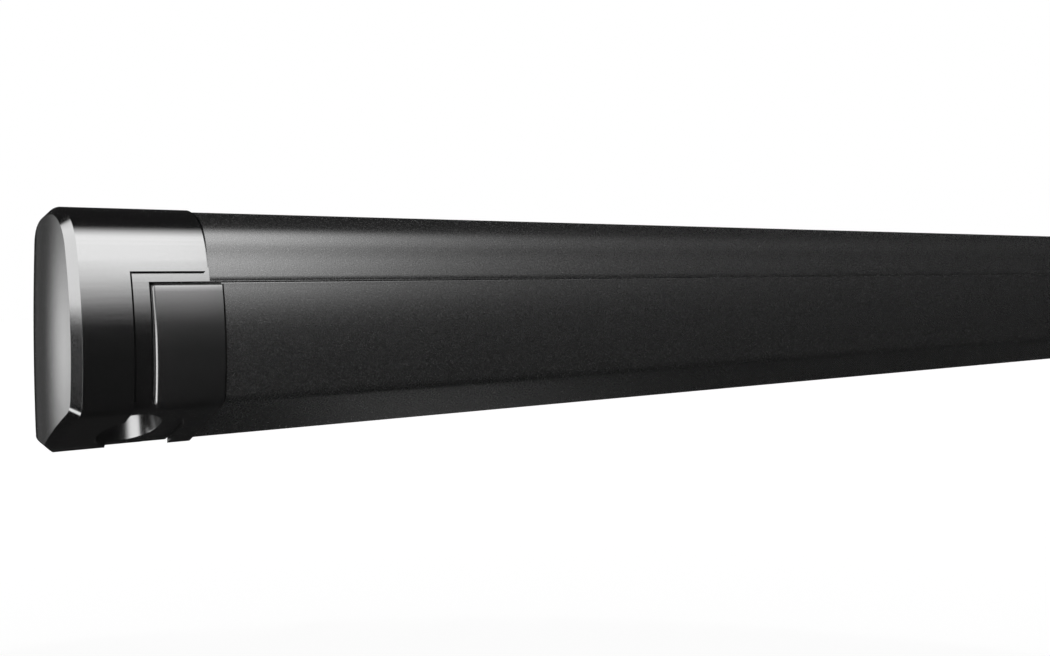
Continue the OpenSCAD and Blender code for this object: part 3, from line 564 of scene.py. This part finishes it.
def cap_shape():
    """The left housing cap: domed and bevelled end face, skirt, and the flag over the housing."""
    shape = Shape()
    rim, upper = outline(0)
    face, _ = outline(CAP_BEVEL)
    base = shape.ring([(CAP_W, y, z) for y, z in rim])
    skirt = [shape.ring([(x + (CAP_BEVEL + sag(y, z)) * (1 - k), y, z) for y, z in rim])
             for k, x in ((0.5, CAP_W / 2), (0, 0))]
    rings = [base, *skirt]
    dome_rings = 12
    for k in range(dome_rings):
        share = 1 - k / dome_rings
        spots = [(DOME_APEX[0] + (y - DOME_APEX[0]) * share, DOME_APEX[1] + (z - DOME_APEX[1]) * share)
                 for y, z in face]
        rings.append(shape.ring([(sag(y, z), y, z) for y, z in spots]))
    for a, b in zip(rings, rings[1:]):
        shape.bridge(a, b)
    tip = shape.ring([(0, *DOME_APEX)])[0]
    last = rings[-1]
    for j in range(len(last)):
        shape.face((last[j], last[(j + 1) % len(last)], tip))
    # flag: outer skin, inner skin and the edges between them
    inner_inset = SHELL_INSET - SHADOW_GAP
    outer_path = rim[upper:]
    inner_path = top_path(inner_inset, FLAG_Z, CAP_DEPTH)
    inner_base = shape.ring([(CAP_W, y, z) for y, z in inner_path])
    outer_end = shape.ring([(FLAG_W, y, z) for y, z in outer_path])
    inner_end = shape.ring([(FLAG_W, y, z) for y, z in inner_path])
    shape.bridge(base[upper:], outer_end, closed=False)
    shape.bridge(outer_end, inner_end, closed=False)
    shape.bridge(inner_end, inner_base, closed=False)
    for j in (0, -1):
        shape.face((base[upper:][j], outer_end[j], inner_end[j], inner_base[j]))
    shape.face(base[:upper] + inner_base)
    shape.points = [(x - HALF_LENGTH, y, z) for x, y, z in shape.points]
    return shape


left_cap = open_crank_hole(piece("cap_shell_left", cap_shape(), "gloss_black", "housing"))
right_cap = piece("cap_shell_right", cap_shape().mirrored(), "gloss_black", "housing")
for made, node in ((left_cap, "housing_cap_left"), (right_cap, "housing_cap_right")):
    soften(made, CAP_EDGE)
    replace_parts(made, node)


# Crank opening


def funnel_shape(sides=96, flare_steps=8):
    """The crank opening's guide ring: its lower rim follows the chamfer, its wall closes to a throat."""
    rim_r = CRANK_HOLE_R - GUIDE_FIT
    lip_in, lip_up = GUIDE_LIP[-1]
    wall_r = rim_r - lip_in - GUIDE_TAPER
    flare_rise = FUNNEL_TOP - THROAT_EDGE - FUNNEL_FLARE_Z
    shape = Shape()
    loops = []
    for k in range(sides):
        turn = 2 * math.pi * k / sides
        x, y = CRANK_X + rim_r * math.cos(turn), CRANK_Y + rim_r * math.sin(turn)
        inset = (SHELL_INSET - SKIN) * min(max(x - CAP_W + GUIDE_STEP, 0), 1)
        low = max(chamfer_height(y, inset), CAP_BOTTOM)
        profile = [(rim_r - inward, low + upward) for inward, upward in GUIDE_LIP]
        reach = FUNNEL_FLARE_Z - low - lip_up
        profile += [(rim_r - lip_in - GUIDE_TAPER * share, low + lip_up + reach * share)
                    for share in (0.25, 0.5, 0.75, 1)]
        for step in range(1, flare_steps + 1):
            rise = step / flare_steps
            radius = wall_r + (THROAT_R - wall_r) * (rise * rise * 0.6 + rise * 0.4)
            profile.append((radius, FUNNEL_FLARE_Z + flare_rise * rise))
        profile += [(THROAT_R, FUNNEL_TOP), (rim_r, FUNNEL_TOP)]
        loops.append(shape.ring([(CRANK_X - HALF_LENGTH + r * math.cos(turn), CRANK_Y + r * math.sin(turn), z)
                                 for r, z in profile]))
    for a, b in zip(loops, loops[1:] + loops[:1]):
        shape.bridge(a, b)
    return shape


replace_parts(piece("crank_guide", funnel_shape(), "satin_black", "housing", sharp=50), "crank_funnel")


def plate_shape(columns=24):
    """The plate round the crank opening beside the end frame: round in front and straight to its foot."""
    inset = SHELL_INSET - SKIN
    foot_y = chamfer_at(SHELL_BOTTOM, inset)
    left = CAP_W + FRAME_RIM_W + SHADOW_GAP
    shape = Shape()
    rows = []
    for k in range(columns + 1):
        x = left + (CRANK_X + PLATE_R - left) * math.sin(math.pi / 2 * k / columns)
        front = CRANK_Y - math.sqrt(max(PLATE_R ** 2 - (x - CRANK_X) ** 2, 0))
        places = (front, front + PLATE_EDGE, (front + foot_y) / 2, foot_y - PLATE_EDGE, foot_y)
        section = [(y, chamfer_height(y, inset)) for y in places]
        section[0] = (front, section[0][1] + PLATE_EDGE)
        section[-1] = (foot_y, SHELL_BOTTOM + PLATE_FOOT)
        over = [(y, z + PLATE_T) for y, z in reversed(section)]
        rows.append(shape.ring([(x - HALF_LENGTH, y, z) for y, z in section + over]))
    for a, b in zip(rows, rows[1:]):
        shape.bridge(a, b)
    shape.face(rows[0])
    shape.face(rows[-1])
    return shape


open_crank_hole(piece("crank_collar_left", plate_shape(), "satin_black", "housing"))


# Powder coated skins over the extrusions, and trim with dark strips of painted shade beside the caps


def smooth(low, high, value):
    """0 below low, 1 above high, and a smooth rise between."""
    share = min(max((value - low) / (high - low), 0), 1)
    return share * share * (3 - 2 * share)


def housing_skin():
    """The housing's outside: it swells from the seam towards the top, where it lies just under the flags."""
    low = LOW_Z - SEAM_LAP + EDGE_R
    base = top_path(SHELL_INSET - SKIN, low, CAP_DEPTH - SKIN_IN)
    full = top_path(TOP_INSET, low, CAP_DEPTH - SKIN_IN)
    outer = []
    for a, b in zip(base, full):
        share = smooth(CORNER_Z - EDGE_R, CORNER_Z + SWELL_SHARE * CORNER_R, a[1])
        outer.append((a[0] + (b[0] - a[0]) * share, a[1] + (b[1] - a[1]) * share))
    inner = top_path(SHELL_INSET + SKIN_IN, low, CAP_DEPTH - SKIN_IN)
    edge_y = front_y(low, SHELL_INSET - SKIN)
    turn = arc(edge_y + EDGE_R, low, EDGE_R, math.pi, 1.5 * math.pi, 5)[1:]
    return Shape().prism(list(reversed(turn)) + outer + list(reversed(inner)), -SHELL_END_X, SHELL_END_X)


def rail_skin():
    """The lead rail's outside, from its foot over the crease up to the seam."""
    top = RAIL_TOP + SEAM_LAP - EDGE_R
    outer = low_front(SHELL_INSET - SKIN, SHELL_BOTTOM, top)
    # the inside ends level with the outside at the foot, clear of the legs that swing past it
    inner_foot = chamfer_height(outer[0][0], SHELL_INSET + SKIN_IN)
    inner = low_front(SHELL_INSET + SKIN_IN, inner_foot, top)
    turn = arc(outer[-1][0] + EDGE_R, top, EDGE_R, math.pi, math.pi / 2, 5)[1:]
    return Shape().prism(outer + turn + list(reversed(inner)), -RAIL_END_X, RAIL_END_X)


def front_strip(inset, low, high):
    return front_arc(inset, low, high, 6)


def frame_skin(low, high, width, front):
    """A strip of the end frame's front where it shows between the caps."""
    section = front(SHELL_INSET - SKIN, low, high) + list(reversed(front(SHELL_INSET + SKIN_IN, low, high)))
    return Shape().prism(section, CAP_W + SKIN - HALF_LENGTH, CAP_W + width - HALF_LENGTH)


def frame_rim():
    return frame_skin(SHELL_BOTTOM, LOW_Z, FRAME_RIM_W, low_front)


def frame_strip():
    return frame_skin(LOW_Z, FLAG_Z + FRAME_UNDER_FLAG, FRAME_TOP_W, front_strip)


def cap_seal(steps=24):
    """A dark matt strip between a housing cap's edge and the end frame's front: painted shade for the gap
    there.
    """
    low = crease(0)[1] + CREASE_ROUND
    section = front_arc(SHELL_INSET - SKIN - SHADE_STRIP_PROUD, low, FLAG_Z, steps)
    section += list(reversed(front_arc(SHELL_INSET, low, FLAG_Z, steps)))
    return Shape().prism(section, CAP_W + SKIN - HALF_LENGTH, CAP_W + SHADE_STRIP_W - HALF_LENGTH)


def rail_seal():
    """A dark matt strip between a rail cap's inner edge and the lead rail: painted shade for the gap there.
    """
    low, high = SHELL_BOTTOM + SKIN_IN, RAIL_TOP - EDGE_R
    section = low_front(SHELL_INSET - SKIN - SHADE_STRIP_PROUD, low, high)
    section += list(reversed(low_front(SHELL_INSET, low, high)))
    return Shape().prism(section, -RAIL_END_X, RAIL_SHADE_STRIP_W - RAIL_END_X)


piece("housing_skin", housing_skin(), "anthracite_coat", "housing")
piece("rail_skin", rail_skin(), "anthracite_coat", "lead_rail")
# Trim of the end frames, and dark strips beside the caps that are painted shade for the gaps
for name, form, finish, body in (
        ("frame_rim", frame_rim, "gloss_black", "housing"),
        ("frame_strip", frame_strip, "gloss_black", "housing"),
        ("cap_seal", cap_seal, "painted_shade", "housing"),
        ("rail_seal", rail_seal, "painted_shade", "lead_rail")):
    left = piece(f"{name}_left", form(), finish, body)
    if name == "frame_rim":
        open_crank_hole(left)
    piece(f"{name}_right", form().mirrored(), finish, body)


# Rail caps


def rail_cap_shape(steps=6):
    """The skin of a rail cap: rounded at its outer end and along its top."""
    out = SHELL_INSET - RAIL_CAP_PROUD
    inner_inset = SHELL_INSET + RAIL_WALL
    inner_top = RAIL_TOP - RAIL_CAP_ROUND
    turns = [math.pi / 2 * k / steps for k in range(steps + 1)]
    shape = Shape()

    def off(turn):
        return RAIL_CAP_ROUND * (1 - math.cos(turn))

    def ring(x, inset, top):
        outer = low_front(inset, 0, top - RAIL_CAP_ROUND)
        outer += [(front_y(top - off(math.pi / 2 - t), inset + off(t)), top - off(math.pi / 2 - t))
                  for t in turns[1:]]
        foot_y = chamfer_at(SHELL_BOTTOM, SHELL_INSET) - RAIL_WALL
        foot = (foot_y, chamfer_height(foot_y, inner_inset))
        curve = crease_curve(inner_inset)
        low_top = inner_top - RAIL_CAP_ROUND
        inner = straight(foot, curve[0], 6) + curve + front_arc(inner_inset, curve[-1][1], low_top, 24)[1:]
        heights = [inner_top - off(math.pi / 2 - t) for t in turns[1:]]
        inner += [(front_y(z, inner_inset), z) for z in heights]
        return shape.ring([(x - HALF_LENGTH, y, z) for y, z in outer + list(reversed(inner))])

    rings = [ring(RAIL_CAP_START + off(math.pi / 2 - t), out + off(t), RAIL_TOP - off(t))
             for t in reversed(turns)]
    rings.append(ring(RAIL_CAP_END, out, RAIL_TOP))
    for a, b in zip(rings, rings[1:]):
        shape.bridge(a, b)
    for rim in (rings[0], rings[-1]):
        for j in range(len(rim) // 2 - 1):
            shape.face((rim[j], rim[j + 1], rim[-2 - j], rim[-1 - j]))
    return shape


def rail_cap_inside():
    """The end plate over the rail's section, and the tenon in its front chamber."""
    end = RAIL_CAP_END - HALF_LENGTH
    plate = (low_front(SHELL_INSET, SHELL_BOTTOM, WEB_Z + RAIL_WALL)
             + [(RAIL_BACK_Y, WEB_Z + RAIL_WALL), (RAIL_BACK_Y, SHELF_Z + RAIL_WALL),
                (LANES_END_Y, SHELF_Z + RAIL_WALL), (LANES_END_Y, SHELL_BOTTOM)])
    shape = Shape().prism(plate, end - END_PLATE_T, end - TENON_GAP)
    inside_y = front_y(WEB_Z, SHELL_INSET + RAIL_WALL) + TENON_GAP
    return shape.block((end - END_PLATE_T / 2, inside_y, SHELF_Z + 2 * RAIL_WALL),
                       (end + TENON, RAIL_BACK_Y - RAIL_WALL - TENON_GAP, WEB_Z - TENON_GAP))


def notch_cutter(steps=48):
    """The room that a rail cap leaves round the crank opening: round in front, open to the back."""
    x, y = CRANK_X - HALF_LENGTH, CRANK_Y
    turns = [math.pi + math.pi * k / steps for k in range(steps + 1)]
    front = [(x + NOTCH_R * math.cos(a), y + NOTCH_R * math.sin(a)) for a in turns]
    return upright_prism("notch", front + [(x + NOTCH_R, WALL_Y), (x - NOTCH_R, WALL_Y)], NOTCH_TOP)


def round_mouth(made):
    """A rounded edge along the notch on the outside of a rail cap."""
    mesh = made.data
    axis = at(CRANK_X - HALF_LENGTH, CRANK_Y, 0)
    out = SHELL_INSET - RAIL_CAP_PROUD

    def on_mouth(v):
        y, z = v.co.y / MM + WALL_Y, v.co.z / MM + MOUNT_Z
        off = (v.co.xy - axis.xy).length if v.co.y <= axis.y else abs(v.co.x - axis.x)
        return abs(off / MM - NOTCH_R) < MOUTH_NEAR and abs(z - chamfer_height(y, out)) < MOUTH_RISE

    weights = mesh.attributes.new("bevel_weight_edge", "FLOAT", "EDGE")
    for edge in mesh.edges:
        if all(on_mouth(mesh.vertices[k]) for k in edge.vertices):
            weights.data[edge.index].value = 1.0
    bevel = made.modifiers.new("mouth", "BEVEL")
    bevel.limit_method = "WEIGHT"
    bevel.width = MOUTH_ROUND * MM
    bevel.segments = 3


for side in ("left", "right"):
    outer, inside = rail_cap_shape(), rail_cap_inside()
    if side == "right":
        outer, inside = outer.mirrored(), inside.mirrored()
    shell = piece(f"rail_cap_shell_{side}", outer, "satin_black", "lead_rail")
    if side == "left":
        cut(shell, notch_cutter())
        round_mouth(shell)
    soften(shell, RAIL_CAP_EDGE)
    soften(piece(f"rail_cap_core_{side}", inside, "satin_black", "lead_rail"), RAIL_CAP_EDGE)
    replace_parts(shell, f"rail_cap_{side}")


# Canopy


def roll_shape(per_turn=40, stations=61):
    """The wound canopy as the spiral that it is, from the roller out to the cloth's free layer."""
    shape = Shape()
    steps = int(WOUND_TURNS * per_turn)
    core_r = ROLLER_R + LAYER_GAP
    pitch = (WOUND_R - core_r) / WOUND_TURNS
    random.seed(4)
    waves = [(random.uniform(0.6, 2.4), random.uniform(0, 6.28), random.uniform(0.02, 0.07))
             for _ in range(9)]
    rings = []
    for s in range(stations):
        x = -CANOPY_HALF + 2 * CANOPY_HALF * s / (stations - 1)
        spots = []
        for k in range(steps + 1):
            angle = WOUND_START - 2 * math.pi * (WOUND_TURNS - k / per_turn)
            ripple = sum(a * math.sin(f * x / ROLL_WAVE + p + 0.7 * angle) for f, p, a in waves)
            r = core_r + pitch * k / per_turn + CANOPY_T / 2 + ripple * (k / steps) ** 3 * ROLL_RIPPLE
            spots.append((x, ROLLER_Y + r * math.cos(angle), ROLLER_Z + r * math.sin(angle)))
        rings.append(shape.ring(spots))
    for a, b in zip(rings, rings[1:]):
        shape.bridge(a, b, closed=False)
    return shape


def cloth(name, path, body, stations=41, ripple=0.0, seed=3):
    """A thin sheet over the awning's width, along a path of (y, z) points."""
    random.seed(seed)
    waves = [(random.uniform(2, 9), random.uniform(0, 6.28)) for _ in range(6)]
    shape = Shape()
    rows = []
    for k, (y, z) in enumerate(path):
        swell = ripple * math.sin(math.pi * k / (len(path) - 1))
        spots = []
        for s in range(stations):
            x = -CANOPY_HALF + 2 * CANOPY_HALF * s / (stations - 1)
            wave = sum(math.sin(f * math.pi * s / (stations - 1) + p) for f, p in waves) / len(waves)
            spots.append((x, y + swell * wave, z))
        rows.append(shape.ring(spots))
    for a, b in zip(rows, rows[1:]):
        shape.bridge(a, b, closed=False)
    made = piece(name, shape, "canopy_fabric", body, sharp=60)
    thick = made.modifiers.new("cloth", "SOLIDIFY")
    thick.thickness = CANOPY_T * MM
    thick.offset = 0
    return made


def path_length(path):
    return sum(math.dist(a, b) for a, b in zip(path, path[1:]))


roll = piece("canopy_roll", roll_shape(), "canopy_fabric", "roller", sharp=60)
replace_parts(roll, "wound_canopy")

# the cord in the lead rail's groove
cord_section = arc(KEDER_Y, KEDER_Z, KEDER_R - CANOPY_T, 0, 2 * math.pi, 16)[:-1]
cord = piece("canopy_edge_cord", Shape().prism(cord_section, -CANOPY_HALF, CANOPY_HALF), "canopy_fabric",
             "lead_rail")
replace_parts(cord, "canopy_edge")

# the stretch from the lead rail's cord to the canopy's tail: a hem round the cord, then a flat run
run_top = RAIL_TOP - RUN_BELOW
flat_start, flat_end = KEDER_Y + RUN_BEND_IN, TAIL_Y - RUN_BEND_OUT
run_path = arc(KEDER_Y, KEDER_Z, KEDER_R - CANOPY_T / 2, 1.5 * math.pi, 0.5 * math.pi, 12)
run_path += [(KEDER_Y, run_top - 0.75 * RUN_BEND_IN), (KEDER_Y + RUN_BEND_IN / 2, run_top - RUN_BEND_IN / 8)]
run_path += [(flat_start + (flat_end - flat_start) * k / 24, run_top) for k in range(25)]
run_path += [(TAIL_Y - RUN_BEND_OUT / 4, run_top - RUN_BEND_OUT / 2), (TAIL_Y, run_top - 2 * RUN_BEND_OUT)]
run = cloth("canopy_run", run_path, None)
at(0, flat_start, run_top)
at(0, flat_end, run_top)
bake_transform(run)
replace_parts(run, "canopy_tail")
path_length(run_path) * MM

# the stretch inside the housing, from the roll to the seam
lip = (TAIL_Y, run_top + FEED_OVER)
leave_r = WOUND_R + FEED_GAP
reach = math.hypot(ROLLER_Y - lip[0], ROLLER_Z - lip[1])
tangent = math.atan2(lip[1] - ROLLER_Z, lip[0] - ROLLER_Y) - math.acos(leave_r / reach)
leave = (ROLLER_Y + leave_r * math.cos(tangent), ROLLER_Z + leave_r * math.sin(tangent))
feed_path = straight(leave, lip, 8) + [lip]
feed = cloth("canopy_feed", feed_path, "housing", ripple=FEED_RIPPLE)
path_length(feed_path) * MM

# CAD nodes that stay: their finish
for part in frame["record"]["subparts"]:
    mesh = nodes[part["node"]].data
    mesh.materials.clear()
    mesh.materials.append(finishes[part["material_slot"]])

# Stage, light and camera: metres, apart from the places in at(). Radiance 1 is white.
FLOOR_Z = -2.7
FLOOR_REACH = 60
FLOOR_LEVEL = 0.93
AMBIENT = 0.12


def seen_rays(tree):
    """1 for camera, glossy and transmission rays, which see a white background, and 0 for the rest."""
    path = tree.nodes.new("ShaderNodeLightPath")
    value = path.outputs["Is Camera Ray"]
    for ray in ("Is Glossy Ray", "Is Transmission Ray"):
        largest = tree.nodes.new("ShaderNodeMath")
        largest.operation = "MAXIMUM"
        tree.links.new(value, largest.inputs[0])
        tree.links.new(path.outputs[ray], largest.inputs[1])
        value = largest.outputs[0]
    return value


def pale_floor():
    """A floor that reads as white, and keeps the object's shadow."""
    m = Maker("floor_pale", Roughness=0.9, Base_Color=(0.3, 0.3, 0.3, 1), Emission_Color=(1, 1, 1, 1))
    m.set("Emission Strength", m.spread(seen_rays(m.tree), 0, 1, 0, FLOOR_LEVEL))
    return m.material


def white_world():
    """A world that is white to look at, and gives a weak even light."""
    world = bpy.data.worlds.new("studio")
    world.use_nodes = True
    tree = world.node_tree
    level = tree.nodes.new("ShaderNodeMapRange")
    level.inputs["To Min"].default_value = AMBIENT
    level.inputs["To Max"].default_value = 1.0
    background = tree.nodes["Background"]
    background.inputs["Color"].default_value = (1, 1, 1, 1)
    tree.links.new(seen_rays(tree), level.inputs["Value"])
    tree.links.new(level.outputs["Result"], background.inputs["Strength"])
    return world


def staged(name, points, faces, material):
    """A part of the set, which doesn't belong to the object."""
    mesh = bpy.data.meshes.new(name)
    mesh.from_pydata(points, [], faces)
    mesh.materials.append(material)
    made = bpy.data.objects.new(name, mesh)
    bpy.context.scene.collection.objects.link(made)
    return made


def unseen(made, glossy=True):
    """Studio gear: lights or shades the object, and no camera sees it."""
    made.visible_camera = False
    made.visible_transmission = False
    if not glossy:
        made.visible_glossy = False


corners = [(x * FLOOR_REACH, y * FLOOR_REACH, FLOOR_Z) for x, y in ((-1, -1), (1, -1), (1, 1), (-1, 1))]
staged("floor", corners, [(0, 1, 2, 3)], pale_floor())
bpy.context.scene.world = white_world()


def aim(made, place, target):
    made.location = place
    made.rotation_mode = "QUATERNION"
    made.rotation_quaternion = (target - place).to_track_quat("-Z", "Y")


def softbox(name, place, target, width, height, radiance):
    """A rectangular lamp that gives the same radiance over its face."""
    lamp = bpy.data.lights.new(name, "AREA")
    lamp.shape = "RECTANGLE"
    lamp.size = width
    lamp.size_y = height
    lamp.energy = radiance * math.pi * width * height
    made = bpy.data.objects.new(name, lamp)
    bpy.context.scene.collection.objects.link(made)
    aim(made, place, target)
    return made


def between(value, table):
    """The value read from a table of (place, value) rows, straight between them."""
    for (a, low), (b, high) in zip(table, table[1:]):
        if value <= b:
            return low + (high - low) * min(max((value - a) / (b - a), 0), 1)
    return table[-1][1]


# What the reflections see: softboxes with soft edges, and black cloth between them. Angles are in degrees.
# Each edge is a (start, end). A box has a radiance, and edges in height and turn where it begins and ends.
CLOTH = 0.02
BOXES = {
    "left": (6.0, (3, 11), (42, 58), (-150, -125), (-72, -58)),
    "low": (9.0, (-40, -34), (2, 8), (-176, -150), (-124, -118)),
    "low_side": (2.4, (-44, -30), (-12, -6), (-99, -90), (-60, -45)),
    "under": (0.09, (-52, -40), (-26, -14), (35, 43), (42, 60)),
}
# The key is a long box over the front. It fades along the awning, and its cloth has faint folds.
KEY = 7.4
KEY_TILT = ((5, 34), (48, 80))
KEY_FADE = [(22, 1), (25, 0.85), (28, 0.5), (31, 0.24), (35, 0.09), (41, 0.03), (50, 0.01), (62, 0), (90, 0)]
KEY_SWING = (-60, -25)
KEY_CENTRE = (-14, 6)
KEY_SIDE_SHARE = 0.3
FOLDS = [(0.05, 1.7, 0), (0.035, 0.83, 1)]
# The rear box stands behind the left end, for the end face. The glint is small and lies low on the left.
REAR = 1.65
REAR_RIM = 0.05
REAR_FADE = (-29, -2)
REAR_CORE = ((-12, -3), (-3, 6))
REAR_CORE_SHARE = 0.7
REAR_TURN = ((-62, -50), (2, 6))
REAR_HEIGHT = ((-17, -13), (9, 13))
GLINT = 6.0
GLINT_WAY = Vector((-0.78, 0.06, -0.63)).normalized()
GLINT_EDGE = (0.985, 0.997)


def window(value, rise, fall):
    """1 between two soft edges, and 0 outside them."""
    return smooth(*rise, value) * (1 - smooth(*fall, value))


def studio(way):
    """The radiance that a reflection sees in a direction."""
    tilt = math.degrees(math.atan2(way.z, -way.y))
    swing = math.degrees(math.asin(max(-1, min(1, way.x))))
    height = math.degrees(math.asin(max(-1, min(1, way.z))))
    turn = math.degrees(math.atan2(way.x, way.y))
    boxes = {}
    for name, (radiance, height_rise, height_fall, turn_rise, turn_fall) in BOXES.items():
        boxes[name] = radiance * window(height, height_rise, height_fall) * window(turn, turn_rise, turn_fall)
    key = KEY * window(tilt, *KEY_TILT) * between(swing, KEY_FADE) * smooth(*KEY_SWING, swing)
    key *= 1 + sum(depth * math.sin(rate * tilt + start) for depth, rate, start in FOLDS)
    key *= KEY_SIDE_SHARE + (1 - KEY_SIDE_SHARE) * smooth(*KEY_CENTRE, swing)
    core = 1 - REAR_CORE_SHARE + REAR_CORE_SHARE * window(height, *REAR_CORE)
    rear = REAR * (1 - smooth(*REAR_FADE, turn)) ** 3 * core + REAR_RIM
    rear *= window(turn, *REAR_TURN) * window(height, *REAR_HEIGHT)
    glint = GLINT * smooth(*GLINT_EDGE, way.dot(GLINT_WAY))
    left = max(boxes["left"], boxes["low"])
    return CLOTH + key + rear + left + boxes["low_side"] + boxes["under"] + glint


def surround(reach=9.0, over_floor=0.02, rows=120, columns=240):
    """The softboxes and cloth as one sheet round the set. Only reflections see it: the lamps light what is
    matt. It ends just over the floor."""
    rise = -FLOOR_Z - over_floor
    middle = at(-HALF_LENGTH + 25, 20, 66)
    shape = Shape()
    glow = []
    rings = []
    for row in range(rows + 1):
        swing = math.radians(-90 + 180 * row / rows)
        spots = []
        for column in range(columns):
            tilt = 2 * math.pi * column / columns
            way = Vector((math.sin(swing), -math.cos(swing) * math.cos(tilt),
                          math.cos(swing) * math.sin(tilt)))
            spots.append(middle + way * min(reach, (rise + middle.z) / max(-way.z, 1e-6)))
            glow.append(studio(way))
        rings.append(shape.ring(spots))
    for a, b in zip(rings, rings[1:]):
        shape.bridge(a, b)
    m = Maker("studio_surround", Base_Color=(0, 0, 0, 1), Emission_Color=(1, 1, 1, 1), Specular_IOR_Level=0)
    m.set("Emission Strength", m.node("ShaderNodeAttribute", attribute_name="radiance").outputs["Fac"])
    m.material.cycles.emission_sampling = "NONE"
    made = staged("studio_surround", shape.points, shape.faces, m.material)
    made.data.attributes.new("radiance", "FLOAT", "POINT").data.foreach_set("value", glow)
    made.visible_diffuse = False
    made.visible_shadow = False
    unseen(made)


surround()

# Plain lamps, as (place, target, (width, height), radiance): a large one over the front of the photographed
# end, one from its lower left and a weak one at the far end. The softbox is for the far end's reflections.
LAMPS = {
    "overhead_lamp": ((-HALF_LENGTH + 260, -1100, 1300), (-HALF_LENGTH + 300, 40, 70), (1.4, 1.0), 4.0),
    "front_lamp": ((-HALF_LENGTH - 900, -1000, -250), (-HALF_LENGTH + 100, 20, 60), (1.0, 0.8), 4.2),
    "far_end_lamp": ((HALF_LENGTH + 500, -1100, 800), (HALF_LENGTH - 100, 40, 70), (1.0, 1.0), 0.6),
    "right_softbox": ((HALF_LENGTH + 900, 620, 150), (HALF_LENGTH, 50, 70), (1.0, 0.7), 1.6),
}
for name, (place, target, size, radiance) in LAMPS.items():
    lamp = softbox(name, at(*place), at(*target), *size, radiance)
    if name.endswith("lamp"):
        unseen(lamp, glossy=False)

# Camera, solved from the cassette's straight edges in the photograph's frame
PHOTO_WIDTH = 1050
FOCAL_PIXELS = 1200
SENSOR = 36
CAMERA_PITCH = 3.005
CAMERA_TURN = 37.8
CAMERA_PLACE = (-HALF_LENGTH - 193.7, -635, 105.4)
camera = bpy.data.cameras.new("camera")
camera.sensor_width = SENSOR
camera.lens = FOCAL_PIXELS / PHOTO_WIDTH * SENSOR
view = bpy.data.objects.new("camera", camera)
bpy.context.scene.collection.objects.link(view)
view.location = at(*CAMERA_PLACE)
view.rotation_euler = (math.radians(90 - CAMERA_PITCH), 0, math.radians(-CAMERA_TURN))
bpy.context.scene.camera = view
bpy.context.scene.view_settings.view_transform = "Standard"
